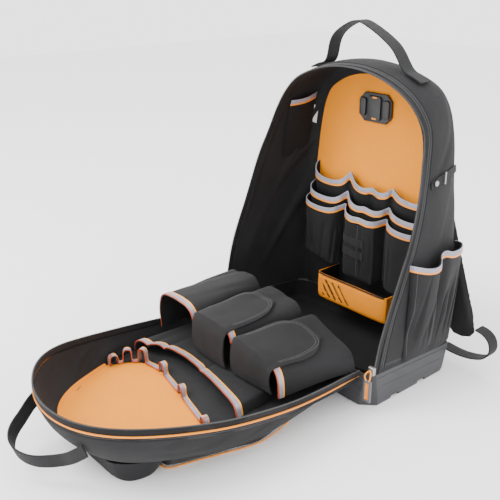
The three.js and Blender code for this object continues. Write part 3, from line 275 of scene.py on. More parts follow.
def crease(piece, angle=50, value=1.0):
    """Holds the edges that are sharper than an angle, so that subdivision keeps them."""
    pick(piece)
    bpy.ops.object.mode_set(mode="EDIT")
    bpy.ops.mesh.select_mode(type="EDGE")
    bpy.ops.mesh.select_all(action="DESELECT")
    bpy.ops.mesh.edges_select_sharp(sharpness=math.radians(angle))
    bpy.ops.transform.edge_crease(value=value)
    bpy.ops.object.mode_set(mode="OBJECT")


def subdivide(piece, levels):
    if levels:
        apply(piece, "SUBSURF", levels=levels, render_levels=levels)


def swell(points, size, seed):
    """Smooth noise from -1 to 1 at each point, with one swell for each size."""
    spot = points / size
    corner = np.floor(spot).astype(np.int64)
    part = spot - corner
    part = part ** 3 * (part * (part * 6 - 15) + 10)
    total = np.zeros(len(points))
    for step in np.ndindex(2, 2, 2):
        at = corner + np.array(step)
        code = at[:, 0] * 73856093 ^ at[:, 1] * 19349663 ^ at[:, 2] * 83492791 ^ (seed * 2654435761)
        code = ((code ^ (code >> 13)) * 1274126177) & 0xFFFFFFFF
        value = ((code ^ (code >> 16)) & 0xFFFF) / 32767.5 - 1
        share = np.where(np.array(step), part, 1 - part).prod(axis=1)
        total += value * share
    return total


def folds_at(points):
    """How far soft cloth lies off its cut shape at each place. Pieces sewn together move alike."""
    cloth = bpy.context.scene.backpack_cloth
    move = np.stack([
        swell(points, cloth.fold_size, 11 + axis) + 0.35 * swell(points, cloth.fold_size * 0.4, 21 + axis)
        for axis in range(3)], axis=1)
    return move * cloth.fold_depth


def ridges(points, way, size, length, seed):
    """Long narrow folds from 0 to 1 that run along a direction."""
    way = np.array(way, float) / np.linalg.norm(way)
    along = points @ way
    rest = points - np.outer(along, way)
    spot = rest / size + np.outer(along / length, way)
    fold = 1 - np.abs(swell(spot, 1.0, seed)) * 2.2
    return smooth(fold)


def shift(points, axis, amount):
    """A move of each point along one axis."""
    move = np.zeros_like(points)
    move[:, axis] = amount
    return move


def crumple(piece, share=1.0, also=None):
    """Lays a piece's points in the bag's soft folds, times a share, with more folds where asked."""
    points = coordinates(piece)
    move = folds_at(points) * share
    if also is not None:
        move += also(points)
    moved = points + move
    moved[:, 2] = np.maximum(moved[:, 2], np.minimum(points[:, 2], 0.4 * MM))
    place(piece, moved)


def soften(piece, angle=40):
    """Smooth shading up to an angle."""
    pick(piece)
    bpy.ops.object.shade_smooth_by_angle(angle=math.radians(angle))


def mark_across(piece, way, width=10 * MM):
    """Stores on a tape how far across its width each point lies, from 0 to 1 along a direction."""
    mesh = piece.data
    points = coordinates(piece)
    share = np.full(len(points), 0.5)
    best = np.zeros(len(points))
    for edge in mesh.edges:
        a, b = edge.vertices
        step = points[b] - points[a]
        length = np.linalg.norm(step)
        if not 0.55 * width < length < 1.9 * width:
            continue
        lean = float(step @ way) / length
        for vertex, high in ((a, lean < 0), (b, lean > 0)):
            if abs(lean) > best[vertex]:
                best[vertex] = abs(lean)
                share[vertex] = 1.0 if high else 0.0
    mesh.attributes.new("across", "FLOAT", "POINT").data.foreach_set("value", share)


def settle(piece, finish, slot, *nodes):
    """Gives a finished piece its material and its place in the frame, and hides the solids it stands for; the
    slot is not used.
    """
    piece.data.materials.clear()
    piece.data.materials.append(MATERIALS[finish])
    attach(piece, "root")
    if nodes:
        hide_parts(*nodes)
    return piece


def dress(node, finish, slot, levels=2, share=1.0, across=None, angle=50, also=None, width=10 * MM,
          fatten=0.0):
    """A finer, softly folded piece in place of a solid of the frame."""
    piece = copy_of(node, node + "_piece")
    if across is not None:
        mark_across(piece, np.array(across, float), width)
    crease(piece, angle)
    subdivide(piece, levels)
    if share or also:
        crumple(piece, share, also)
    if fatten:
        pick(piece)
        bpy.ops.object.mode_set(mode="EDIT")
        bpy.ops.mesh.select_all(action="SELECT")
        bpy.ops.transform.shrink_fatten(value=fatten)
        bpy.ops.object.mode_set(mode="OBJECT")
    soften(piece)
    return settle(piece, finish, slot, node)


def hard(node, finish, slot, bevel=0.8 * MM, segments=2):
    """A solid of the frame with softened edges."""
    piece = copy_of(node, node + "_piece")
    apply(piece, "BEVEL", width=bevel, segments=segments, limit_method="ANGLE",
          angle_limit=math.radians(28), harden_normals=False)
    soften(piece, 35)
    return settle(piece, finish, slot, node)


def stuff(piece, voxel, pressure, cap, frames=20):
    """Inflates a closed piece as padding does, and caps how far its points move."""
    pick(piece)
    piece.data.remesh_voxel_size = voxel
    bpy.ops.object.voxel_remesh()
    before = coordinates(piece)
    cloth = piece.modifiers.new("Padding", "CLOTH")
    cloth.settings.quality = 5
    cloth.settings.use_pressure = True
    cloth.settings.uniform_pressure_force = pressure
    cloth.settings.effector_weights.gravity = 0
    cloth.settings.tension_stiffness = 12
    cloth.settings.compression_stiffness = 12
    cloth.point_cache.frame_start = 1
    cloth.point_cache.frame_end = frames
    for number in range(1, frames + 1):
        bpy.context.scene.frame_set(number)
    pick(piece)
    bpy.ops.object.modifier_apply(modifier=cloth.name)
    bpy.context.scene.frame_set(1)
    move = coordinates(piece) - before
    length = np.linalg.norm(move, axis=1, keepdims=True)
    place(piece, before + move * np.minimum(1, cap / np.maximum(length, 1e-9)))


def lay_sheet(name, across, along, at, thickness, levels=1):
    """A strip of cloth or webbing through the points of at(u, v), with its wall."""
    deselect()
    bpy.ops.mesh.primitive_grid_add(x_subdivisions=across, y_subdivisions=along, size=1)
    piece = bpy.context.object
    piece.name = name
    piece.data.name = name
    spots = coordinates(piece)[:, :2] + 0.5
    place(piece, np.array([at(float(u), float(v)) for u, v in spots]))
    apply(piece, "SOLIDIFY", thickness=thickness, offset=0)
    crease(piece, 60)
    subdivide(piece, levels)
    soften(piece)
    return piece


def bead(name, points, radius, closed=False, roundness=2):
    """A round cord through a list of points."""
    deselect()
    bpy.ops.curve.primitive_nurbs_path_add()
    piece = bpy.context.object
    piece.name = name
    data = piece.data
    data.dimensions = "3D"
    data.splines.clear()
    spline = data.splines.new("POLY")
    spline.points.add(len(points) - 1)
    for knot, point in zip(spline.points, points):
        knot.co = (*point, 1)
    spline.use_cyclic_u = closed
    data.bevel_depth = radius
    data.bevel_resolution = roundness
    data.use_fill_caps = not closed
    bpy.ops.object.convert(target="MESH")
    piece = bpy.context.object
    piece.data.name = name
    soften(piece, 60)
    return piece


def tree_of(*pieces):
    """A search tree over the faces of some pieces."""
    points, faces = [], []
    for piece in pieces:
        start = len(points)
        points += [v.co.copy() for v in piece.data.vertices]
        faces += [[start + k for k in p.vertices] for p in piece.data.polygons]
    return BVHTree.FromPolygons(points, faces)


def lay_on(tree, starts, ways, lift):
    """Drops points along directions onto a surface: a run of (point, normal), with None at a miss."""
    found = []
    for start, way in zip(starts, ways):
        way = Vector(way).normalized()
        point, normal, _, _ = tree.ray_cast(Vector(start), way, 0.2)
        if point is None:
            found.append(None)
            continue
        if normal.dot(way) > 0:
            normal = -normal
        found.append((point + normal * lift, normal))
    return found


def ring_on(tree, at, first, last, down, out, lift):
    """A run on a surface beside the mouth's or the lid's rim, whose points at() gives."""
    spots = [at(k / 240, down, out) for k in range(first, last)]
    return lay_on(tree, [spot[0] for spot in spots], [-spot[1] for spot in spots], lift)


def copies(name, template, spots):
    """One piece of many copies of a template, each at (point, forward, up)."""
    base = coordinates(template)
    faces = [list(p.vertices) for p in template.data.polygons]
    points, polygons = [], []
    for point, forward, up in spots:
        forward = forward.normalized()
        side = up.cross(forward).normalized()
        top = forward.cross(side)
        turn = np.array([forward, side, top])
        start = len(points) * len(base)
        points.append(base @ turn + np.array(point))
        polygons += [[start + k for k in face] for face in faces]
    mesh = bpy.data.meshes.new(name)
    mesh.from_pydata(np.concatenate(points).tolist(), [], polygons)
    mesh.update()
    piece = bpy.data.objects.new(name, mesh)
    bpy.context.scene.collection.objects.link(piece)
    return piece


def drop_template(template):
    mesh = template.data
    bpy.data.objects.remove(template)
    bpy.data.meshes.remove(mesh)


def make_stitch():
    """One stitch, lying along X."""
    trim = bpy.context.scene.backpack_trim
    deselect()
    bpy.ops.mesh.primitive_cylinder_add(vertices=6, radius=trim.thread / 2, depth=trim.stitch_length,
                                        rotation=(0, math.pi / 2, 0))
    stitch = bpy.context.object
    bpy.ops.object.transform_apply(rotation=True)
    points = coordinates(stitch)
    points[:, 2] *= 0.8
    points[:, 2] -= 0.25 * trim.thread * (np.abs(points[:, 0]) > 0.4 * trim.stitch_length)
    place(stitch, points)
    return stitch


def stitches(name, runs):
    """Rows of stitches along runs of (point, normal)."""
    trim = bpy.context.scene.backpack_trim
    step = trim.stitch_length + trim.stitch_gap
    spots = []
    for run in runs:
        left = step / 2
        for here, there in zip(run, run[1:]):
            if here is None or there is None:
                left = step / 2
                continue
            way = there[0] - here[0]
            length = way.length
            if length < 1e-6 or length > 0.03:
                continue
            while left < length:
                share = left / length
                spots.append((here[0].lerp(there[0], share), way, here[1].lerp(there[1], share)))
                left += step
            left -= length
    template = make_stitch()
    piece = copies(name, template, spots)
    drop_template(template)
    soften(piece, 60)
    return settle(piece, "thread", "webbing")


# ---------------------------------------------------------------- materials

MATERIALS = {}


class Finish:
    """One material, built node by node around its Principled shader."""

    def __init__(self, name, roughness, sheen=0.0, metallic=0.0, specular=0.4):
        self.material = bpy.data.materials.new(name)
        self.material.use_nodes = True
        self.tree = self.material.node_tree
        self.shader = self.tree.nodes["Principled BSDF"]
        self.shader.inputs["Roughness"].default_value = roughness
        self.shader.inputs["Metallic"].default_value = metallic
        self.shader.inputs["Specular IOR Level"].default_value = specular
        self.shader.inputs["Sheen Weight"].default_value = sheen
        self.shader.inputs["Sheen Roughness"].default_value = 0.45
        self.place = self.tree.nodes.new("ShaderNodeTexCoord").outputs["Object"]
        MATERIALS[name] = self.material

    def join(self, socket, value):
        if isinstance(value, bpy.types.NodeSocket):
            self.tree.links.new(value, socket)
        else:
            socket.default_value = value

    def math(self, operation, *values):
        node = self.tree.nodes.new("ShaderNodeMath")
        node.operation = operation
        for socket, value in zip(node.inputs, values):
            self.join(socket, value)
        return node.outputs[0]

    def parts(self, vector):
        node = self.tree.nodes.new("ShaderNodeSeparateXYZ")
        self.join(node.inputs[0], vector)
        return node.outputs[:]

    def noise(self, size, detail=2.0, stretch=(1, 1, 1), turn=(0, 0, 0), rough=0.5):
        """Noise from 0 to 1 with one swell for each size in metres."""
        mapping = self.tree.nodes.new("ShaderNodeMapping")
        self.join(mapping.inputs["Vector"], self.place)
        mapping.inputs["Rotation"].default_value = turn
        mapping.inputs["Scale"].default_value = stretch
        node = self.tree.nodes.new("ShaderNodeTexNoise")
        self.join(node.inputs["Vector"], mapping.outputs[0])
        node.inputs["Scale"].default_value = 1 / size
        node.inputs["Detail"].default_value = detail
        node.inputs["Roughness"].default_value = rough
        return node.outputs["Fac"]

    def scale(self, value, low, high, to_low=0.0, to_high=1.0):
        node = self.tree.nodes.new("ShaderNodeMapRange")
        for socket, number in zip(node.inputs, (value, low, high, to_low, to_high)):
            self.join(socket, number)
        return node.outputs[0]

    def blend(self, share, first, second):
        node = self.tree.nodes.new("ShaderNodeMix")
        node.data_type = "RGBA"
        self.join(node.inputs["Factor"], share)
        self.join(node.inputs[6], first)
        self.join(node.inputs[7], second)
        return node.outputs[2]

    def weave(self, pitch, over=1.0):
        """Height of a plain weave that follows the three main planes."""
        waves = [self.math("SINE", self.math("MULTIPLY", axis, 2 * math.pi / pitch))
                 for axis in self.parts(self.place)]
        facing = self.parts(self.tree.nodes.new("ShaderNodeNewGeometry").outputs["Normal"])
        height = 0.0
        for k in range(3):
            a, b = waves[(k + 1) % 3], waves[(k + 2) % 3]
            cross = self.math("MULTIPLY", a, b) if over == 1.0 else self.math(
                "ADD", self.math("MULTIPLY", a, b), self.math("MULTIPLY", a, over - 1.0))
            share = self.math("MULTIPLY", facing[k], facing[k])
            height = self.math("ADD", height, self.math("MULTIPLY", cross, share))
        return height

    def bump(self, height, distance, strength=1.0):
        node = self.tree.nodes.new("ShaderNodeBump")
        node.inputs["Distance"].default_value = distance
        node.inputs["Strength"].default_value = strength
        self.join(node.inputs["Height"], height)
        before = self.shader.inputs["Normal"]
        if before.is_linked:
            self.tree.links.new(before.links[0].from_socket, node.inputs["Normal"])
        self.tree.links.new(node.outputs[0], before)

    def colour(self, value):
        self.join(self.shader.inputs["Base Color"], value)

    def attribute(self, name):
        node = self.tree.nodes.new("ShaderNodeAttribute")
        node.attribute_name = name
        return node.outputs["Fac"]


def rgba(colour, share=1.0):
    return (*(min(1.0, c * share) for c in colour), 1.0)


def woven(name, colour, pitch, roughness=0.8, sheen=0.03, dark=0.7, light=1.35, creases=0.0025):
    """Plain woven cloth with soft creases, lighter where threads stand out."""
    finish = Finish(name, roughness, sheen, 0.0, 0.25)
    thread = finish.weave(pitch)
    wide = finish.noise(0.09, 3)
    fine = finish.noise(0.0022, 2)
    tone = finish.blend(finish.scale(wide, 0.3, 0.7), rgba(colour, dark), rgba(colour, light * 0.85))
    flecks = finish.math("MULTIPLY", finish.scale(thread, -0.2, 0.9), finish.scale(fine, 0.4, 0.7))
    tone = finish.blend(finish.math("MULTIPLY", flecks, 0.5), tone, rgba(colour, light * 1.5))
    finish.colour(tone)
    finish.bump(thread, 0.22 * MM, 0.55)
    finish.bump(fine, 0.12 * MM, 0.5)
    if creases:
        long_fold = finish.noise(0.05, 2, stretch=(1, 1, 0.35), turn=(0.5, 0.2, 0.4))
        finish.bump(long_fold, creases, 0.6)
        finish.bump(finish.noise(0.016, 3), creases * 0.3, 0.5)
    return finish


def make_materials():
    """The finishes of the bag, each from its own threads, grain and wear."""
    cloth = bpy.context.scene.backpack_cloth
    trim = bpy.context.scene.backpack_trim
    woven("charcoal_cloth", cloth.charcoal, cloth.weave)
    # The inner cloth is the charcoal cloth darkened to 0.55 as painted shade, used by the tub, the pockets
    # inside the bag, the facings and the hinge.
    woven("inner_cloth_painted_shade", [c * 0.55 for c in cloth.charcoal], cloth.weave, 0.8, 0.02)
    woven("bright_lining", cloth.lining, cloth.weave * 0.8, 0.75, 0.0, 0.88, 1.12, 0.002)
    woven("spacer_mesh", [c * 0.7 for c in cloth.charcoal], 3.2 * MM, 0.9, 0.05, 0.5, 1.6, 0.001)

    webbing = Finish("webbing", 0.72, 0.03, 0.0, 0.25)
    ribs = webbing.weave(2.1 * MM, 1.8)
    webbing.colour(webbing.blend(webbing.scale(ribs, -0.6, 1.2), rgba(trim.webbing, 0.55),
                                 rgba(trim.webbing, 1.8)))
    webbing.bump(ribs, 0.4 * MM, 0.7)
    webbing.bump(webbing.noise(0.02, 2), 0.8 * MM, 0.4)

    edge = (0.75, 0.24, 0.01)
    # pocket_tape's lighter grey top band is a painted highlight of the tape's folded top edge; lid_tape's top
    # band is its orange edge.
    for name, low, high, top in (("pocket_tape", 0.3, 0.95, (0.34, 0.34, 0.38)),
                                 ("lid_tape", 0.14, 0.8, (0.85, 0.33, 0.01))):
        tape = Finish(name, 0.42, 0.0, 0.0, 0.6)
        across = tape.attribute("across")
        grain = tape.weave(0.9 * MM)
        silver = tape.blend(tape.scale(tape.noise(0.012, 3), 0.35, 0.7), rgba(trim.tape, 0.85),
                            rgba(trim.tape, 1.15))
        lower = edge if name == "pocket_tape" else (0.4, 0.06, 0.015)
        tone = tape.blend(tape.scale(across, low - 0.02, low + 0.02), rgba(lower), silver)
        tone = tape.blend(tape.scale(across, high - 0.02, high + 0.02), tone, rgba(top))
        seam = tape.math("SUBTRACT", 1.0, tape.scale(
            tape.math("ABSOLUTE", tape.math("SUBTRACT", across, low + 0.05)), 0.0, 0.05))
        tone = tape.blend(tape.math("MULTIPLY", seam, 0.5), tone, rgba((0.1, 0.09, 0.1)))
        tape.colour(tone)
        tape.bump(grain, 0.1 * MM, 0.5)
        tape.bump(tape.noise(0.01, 2), 0.5 * MM, 0.5)

    cord = Finish("bright_cord", 0.6, 0.1)
    twist = cord.weave(1.2 * MM)
    cord.colour(cord.blend(cord.scale(twist, -0.8, 0.8), rgba(cloth.lining, 0.75),
                           rgba(cloth.lining, 1.15)))
    cord.bump(twist, 0.2 * MM, 0.6)

    moulded = Finish("moulded_grey", 0.5, 0.0, 0.0, 0.45)
    grain = moulded.noise(0.0012, 3, rough=0.7)
    scuff = moulded.noise(0.02, 5, stretch=(1, 1, 3), rough=0.75)
    moulded.colour(moulded.blend(moulded.scale(scuff, 0.35, 0.75), (0.022, 0.022, 0.025, 1),
                                 (0.045, 0.045, 0.05, 1)))
    moulded.join(moulded.shader.inputs["Roughness"], moulded.scale(scuff, 0.3, 0.8, 0.42, 0.62))
    moulded.bump(grain, 0.12 * MM, 0.6)

    metal = Finish("worn_metal", 0.35, 0.0, 0.9)
    wear = metal.noise(0.004, 5, rough=0.8)
    metal.colour(metal.blend(wear, (0.16, 0.16, 0.165, 1), (0.5, 0.5, 0.5, 1)))
    metal.join(metal.shader.inputs["Roughness"], metal.scale(wear, 0.3, 0.7, 0.28, 0.5))
    metal.bump(wear, 0.08 * MM, 0.4)

    plain = rows("name shine mottle dark light grain depth",
        ("thread", (0.6, 0.1), (0.004, 2), (0.02, 0.02, 0.022), (0.1, 0.1, 0.105), (0.0006, 1), (0.1, 0.6)),
        ("moulded_black", (0.42, 0.0, 0.0, 0.5), (0.01, 4), (0.006, 0.006, 0.007), (0.014, 0.014, 0.016),
         (0.0012, 2), (0.1, 0.5)),
        ("zip_teeth", (0.4, 0.0, 0.0, 0.5), (0.003, 2), (0.02, 0.02, 0.022), (0.07, 0.07, 0.075),
         (0.001, 2), (0.05, 0.5)),
        ("grey_rubber", (0.55, 0.0), (0.006, 4), (0.07, 0.07, 0.08), (0.13, 0.13, 0.14), (0.0008, 2),
         (0.1, 0.6)))
    for row in plain:
        finish = Finish(row["name"], *row["shine"])
        finish.colour(finish.blend(finish.noise(*row["mottle"]), rgba(row["dark"]), rgba(row["light"])))
        distance, strength = row["depth"]
        finish.bump(finish.noise(*row["grain"]), distance * MM, strength)

    label = Finish("white_label", 0.6, 0.1)
    label.colour(label.blend(label.noise(0.004, 3), (0.5, 0.5, 0.53, 1), (0.65, 0.65, 0.65, 1)))
    label.bump(label.weave(0.6 * MM), 0.08 * MM, 0.5)

    floor = Finish("pale_floor", 0.8, 0.0, 0.0, 0.2)
    floor.colour(floor.blend(floor.noise(0.6, 2), (0.9, 0.9, 0.9, 1), (0.93, 0.93, 0.93, 1)))


PIECES = {}


# ---------------------------------------------------------------- operators

class BACKPACK_OT_studio(bpy.types.Operator):
    """Adds the camera, the pale floor and the soft lamps, and makes the materials"""
    bl_idname = "backpack.studio"
    bl_label = "Studio"

    def execute(self, context):
        studio = context.scene.backpack_studio
        make_materials()
        deselect()
        bpy.ops.object.camera_add(location=(0.8567, -0.9371, 0.698),
                                  rotation=(math.radians(68.4), 0, math.radians(49.4)))
        camera = context.object
        camera.data.lens = 749 / 500 * 36
        camera.data.sensor_width = 36
        context.scene.camera = camera
        deselect()
        bpy.ops.mesh.primitive_plane_add(size=studio.distance, location=(0, 0, -0.0004))
        floor = context.object
        floor.name = "studio_floor"
        floor.data.materials.append(MATERIALS["pale_floor"])
        world = bpy.data.worlds.new("studio_sky")
        world.use_nodes = True
        world.node_tree.nodes["Background"].inputs[0].default_value = (1, 1, 1, 1)
        world.node_tree.nodes["Background"].inputs[1].default_value = studio.sky
        context.scene.world = world
        lamps = (("key", (-0.9, -1.5, 2.2), 1.4, studio.key), ("fill", (2.2, 0.2, 1.2), 1.6, studio.fill))
        for name, spot, size, power in lamps:
            deselect()
            aim = Vector((0, -0.15, 0.25)) - Vector(spot)
            bpy.ops.object.light_add(type="AREA", location=spot,
                                     rotation=aim.to_track_quat("-Z", "Y").to_euler())
            lamp = context.object
            lamp.name = name
            lamp.data.size = size
            lamp.data.energy = power
        return {"FINISHED"}


class BACKPACK_OT_base(bpy.types.Operator):
    """Adds the moulded base with its softened edges and raised lip, and the cloth tub inside it"""
    bl_idname = "backpack.base"
    bl_label = "Moulded base"

    def execute(self, context):
        base = hard("moulded_base", "moulded_grey", "plastic", 1.4 * MM, 3)
        dress("inner_tub", "inner_cloth_painted_shade", "cloth", 2, 0.0)
        for name, drop, out, radius in (("lip", 9, 0.8, 1.2), ("lower_line", 27, 0.4, 0.7)):
            ring = []
            for x, y in ((190, -88), (190, 88), (168, 110), (-168, 110), (-190, 88), (-190, -88),
                         (-168, -110), (168, -110)):
                rim = BASE_TOP - BASE_REAR_DROP * (y / (2 * HALF_DEPTH) + 0.5)
                ring.append(Vector((x, y, rim - drop)) * MM)
            points, ways = [], []
            for here, there in zip(ring, ring[1:] + ring[:1]):
                for k in range(14):
                    point = here.lerp(there, k / 14)
                    away = Vector((point.x, point.y, 0)).normalized()
                    points.append(point + away * 0.05)
                    ways.append(-away)
            run = lay_on(tree_of(base), points, ways, (out - radius) * MM * 0.5)
            line = bead(f"base_{name}", [spot[0] for spot in run if spot], radius * MM, True)
            settle(line, "moulded_grey", "plastic")
        return {"FINISHED"}


def wall_creases(points):
    """Long slack folds of the standing bag's side walls and back."""
    lean = ridges(points, (0.15, 0.55, 1.0), 0.042, 0.3, 5) * 4.6 * MM
    side = smooth((np.abs(points[:, 0]) - 0.1) / 0.06) * smooth((points[:, 2] - 0.08) / 0.1)
    near_rim = smooth((points[:, 1] + 0.11 - 0.14 * smooth((points[:, 2] - 0.06) / 0.46)) / 0.05)
    slack = np.where(points[:, 0] < 0, 1.0, 0.35)
    return shift(points, 0, -np.sign(points[:, 0]) * lean * side * near_rim * slack)


class BACKPACK_OT_shell(bpy.types.Operator):
    """Adds the bag's cloth body and the bright lining of its back"""
    bl_idname = "backpack.shell"
    bl_label = "Cloth body"

    def execute(self, context):
        PIECES["shell"] = dress("main_shell", "charcoal_cloth", "cloth", 3, 0.3, also=wall_creases)
        PIECES["zip_tape"] = dress("mouth_zip", "webbing", "webbing", 2, 0.0)

        def gathers(points):
            low = smooth((0.36 - points[:, 2]) / 0.1)
            return shift(points, 1, -ridges(points, (0, 0, 1), 0.018, 0.2, 7) * 4 * MM * low)
        PIECES["back_lining"] = dress("back_lining", "bright_lining", "orange_cloth", 4, 0.5, also=gathers)
        return {"FINISHED"}


class BACKPACK_OT_organiser(bpy.types.Operator):
    """Adds the three tiers of pockets on the back, their tapes, the webbing bands and the clip"""
    bl_idname = "backpack.organiser"
    bl_label = "Organiser"

    def execute(self, context):
        def gathered(points):
            left = smooth((-0.045 - points[:, 0]) / 0.02) * smooth((0.222 - points[:, 2]) / 0.02)
            low = smooth((points[:, 2] - 0.125) / 0.03)
            move = shift(points, 1, ridges(points, (0.1, 0, 1), 0.011, 0.12, 9) * 5 * MM * left * low)
            other = smooth((points[:, 0] + 0.04) / 0.02) * smooth((0.235 - points[:, 2]) / 0.05)
            move[:, 1] += ridges(points, (0, 0, 1), 0.02, 0.2, 4) * 2.5 * MM * other * low
            return move
        for tier in ("upper", "middle", "lower"):
            PIECES[tier] = dress(f"organiser_{tier}", "inner_cloth_painted_shade", "cloth", 3, 0.35,
                                 also=gathered if tier == "lower" else None)
            dress(f"organiser_{tier}_trim", "pocket_tape", "reflective_tape", 2, 0.35,
                  across=(0, 0, 1), fatten=0.3 * MM)
        tree = tree_of(PIECES["lower"])
        for k, z in enumerate((202, 178)):
            def at(u, v, z=z):
                across = mix(-0.32, 0.12, u)
                start = Vector((across * 0.15, -0.05, (z + (v - 0.5) * 15 - 3 * u) * MM))
                point, _, _, _ = tree.ray_cast(start, Vector((0, 1, 0)), 0.2)
                point = point or start + Vector((0, 0.1, 0))
                sag = 0.6 + 1.6 * abs(math.sin(u * math.pi * 2))
                return point + Vector((0, -sag * MM, 0))
            band = lay_sheet(f"webbing_band_{k + 1}", 24, 3, at, 1.2 * MM)
            settle(band, "webbing", "webbing")
        clip = hard("clip_bracket", "moulded_black", "plastic", 0.9 * MM, 3)
        low, high = (Vector(c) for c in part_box("clip_bracket"))
        middle = (low + high) / 2
        for k, up in enumerate((0.36, -0.36)):
            deselect()
            bpy.ops.mesh.primitive_cube_add(size=1, location=(
                middle.x + 1 * MM, low.y + 0.6 * MM, middle.z + up * (high.z - low.z)),
                scale=(11 * MM, 1.6 * MM, 3.4 * MM))
            slot = context.object
            slot.name = f"clip_slot_{k + 1}"
            bpy.ops.object.transform_apply(location=True, scale=True)
            apply(slot, "BEVEL", width=1.2 * MM, segments=3, affect="EDGES")
            soften(slot)
            settle(slot, "bright_cord", "orange_cloth")
        return {"FINISHED"}


class BACKPACK_OT_map_pocket(bpy.types.Operator):
    """Adds the bright pocket low on the back, with its slanting ribs and its dark binding"""
    bl_idname = "backpack.map_pocket"
    bl_label = "Ribbed pocket"

    def execute(self, context):
        low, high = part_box("ribbed_pocket")

        def ribs(points):
            front = smooth((low[1] + 0.006 - points[:, 1]) / 0.004)
            spot = points[:, 0] + (points[:, 2] - low[2]) * 0.85
            left = smooth((points[:, 0] - low[0] - 0.012) / 0.01) * smooth((0.02 - spot) / 0.02)
            inside = smooth((points[:, 2] - low[2] - 0.006) / 0.004) * smooth(
                (high[2] - 0.009 - points[:, 2]) / 0.004)
            cut = 1 - np.abs(np.mod(spot / 0.0165, 1.0) - 0.5) * 5
            return shift(points, 1, np.clip(cut, 0, 1) * 3.2 * MM * front * left * inside)
        PIECES["map_pocket"] = dress("ribbed_pocket", "bright_lining", "orange_cloth", 4, 0.3, also=ribs)
        pocket = PIECES["map_pocket"]
        pocket.data.materials.append(MATERIALS["inner_cloth_painted_shade"])
        # The pocket's inward faces and floor take the darkened inner cloth: painted shade inside the pocket.
        for face in pocket.data.polygons:
            inward = face.normal.y > 0.25 or face.normal.x * face.center.x < -0.3 * abs(face.center.x)
            floor = face.normal.z > 0.5 and face.center.z < high[2] - 0.004
            face.material_index = int(inward or floor)
        box = tree_of(pocket)
        for name, z, radius in (("top", high[2] - 1.2 * MM, 1.5), ("seam", high[2] - 8 * MM, 0.5)):
            xs = np.linspace(low[0] + 0.004, high[0] - 0.004, 40)
            run = lay_on(box, [(x, low[1] - 0.05, z) for x in xs], [(0, 1, 0)] * 40, 0.2 * MM)
            line = bead(f"map_pocket_{name}", [s[0] for s in run if s], radius * MM)
            settle(line, "bright_cord" if name == "seam" else "webbing", "webbing")
        return {"FINISHED"}


class BACKPACK_OT_wall_pocket(bpy.types.Operator):
    """Adds the narrow pocket on the inner wall, with its tape and the small tag beside it"""
    bl_idname = "backpack.wall_pocket"
    bl_label = "Wall pocket"

    def execute(self, context):
        dress("wall_pocket", "inner_cloth_painted_shade", "cloth", 3, 0.8)
        dress("wall_pocket_trim", "pocket_tape", "reflective_tape", 2, 0.8, across=(0, 0, 1))
        dress("tag_strip", "white_label", "label", 2, 0.8)
        return {"FINISHED"}


class BACKPACK_OT_side_pockets(bpy.types.Operator):
    """Adds the pleated side pockets with their tapes, and the tape, rivet and bar above them"""
    bl_idname = "backpack.side_pockets"
    bl_label = "Side pockets"

    def execute(self, context):
        def pleats(points):
            low = smooth((0.235 - points[:, 2]) / 0.08) * smooth((points[:, 2] - 0.075) / 0.05)
            fold = ridges(points, (0, 0.12, 1), 0.02, 0.3, 13) * 5.5 * MM
            return shift(points, 0, -np.sign(points[:, 0]) * fold * low)
        for side, _ in SIDES:
            PIECES[f"pocket_{side}"] = dress(f"side_pocket_{side}", "charcoal_cloth", "cloth", 3, 0.5,
                                             also=pleats)
            dress(f"side_pocket_{side}_trim", "pocket_tape", "reflective_tape", 2, 0.5,
                  across=(0, 0, 1))
            dress(f"side_tape_{side}", "webbing", "webbing", 2, 0.4)
            hard(f"side_rivet_{side}", "worn_metal", "metal", 0.4 * MM)
            hard(f"side_bar_{side}", "worn_metal", "metal", 0.5 * MM)
        return {"FINISHED"}


def lid_creases(points):
    """Slack folds of the lid's walls and outer pockets."""
    along = (LID_HINGE * MM - points[:, 1]) / (LID_LENGTH * MM)
    rim = np.interp(along, *([row[name] for row in LID_ROWS] for name in ("along", "rise")))
    rim *= LID_RISE * MM
    wall = smooth((np.abs(points[:, 0]) - 0.11) / 0.05) * smooth((points[:, 2] - 0.045) / 0.02)
    wall *= smooth((rim - 0.014 - points[:, 2]) / 0.02)
    slack = np.where(points[:, 0] < 0, 1.0, 0.4)
    fold = ridges(points, (0.1, 1.0, 0.6), 0.03, 0.16, 17) * 4.0 * MM * wall * slack
    move = shift(points, 0, np.sign(points[:, 0]) * -fold)
    move[:, 2] = -fold * 0.3
    return move


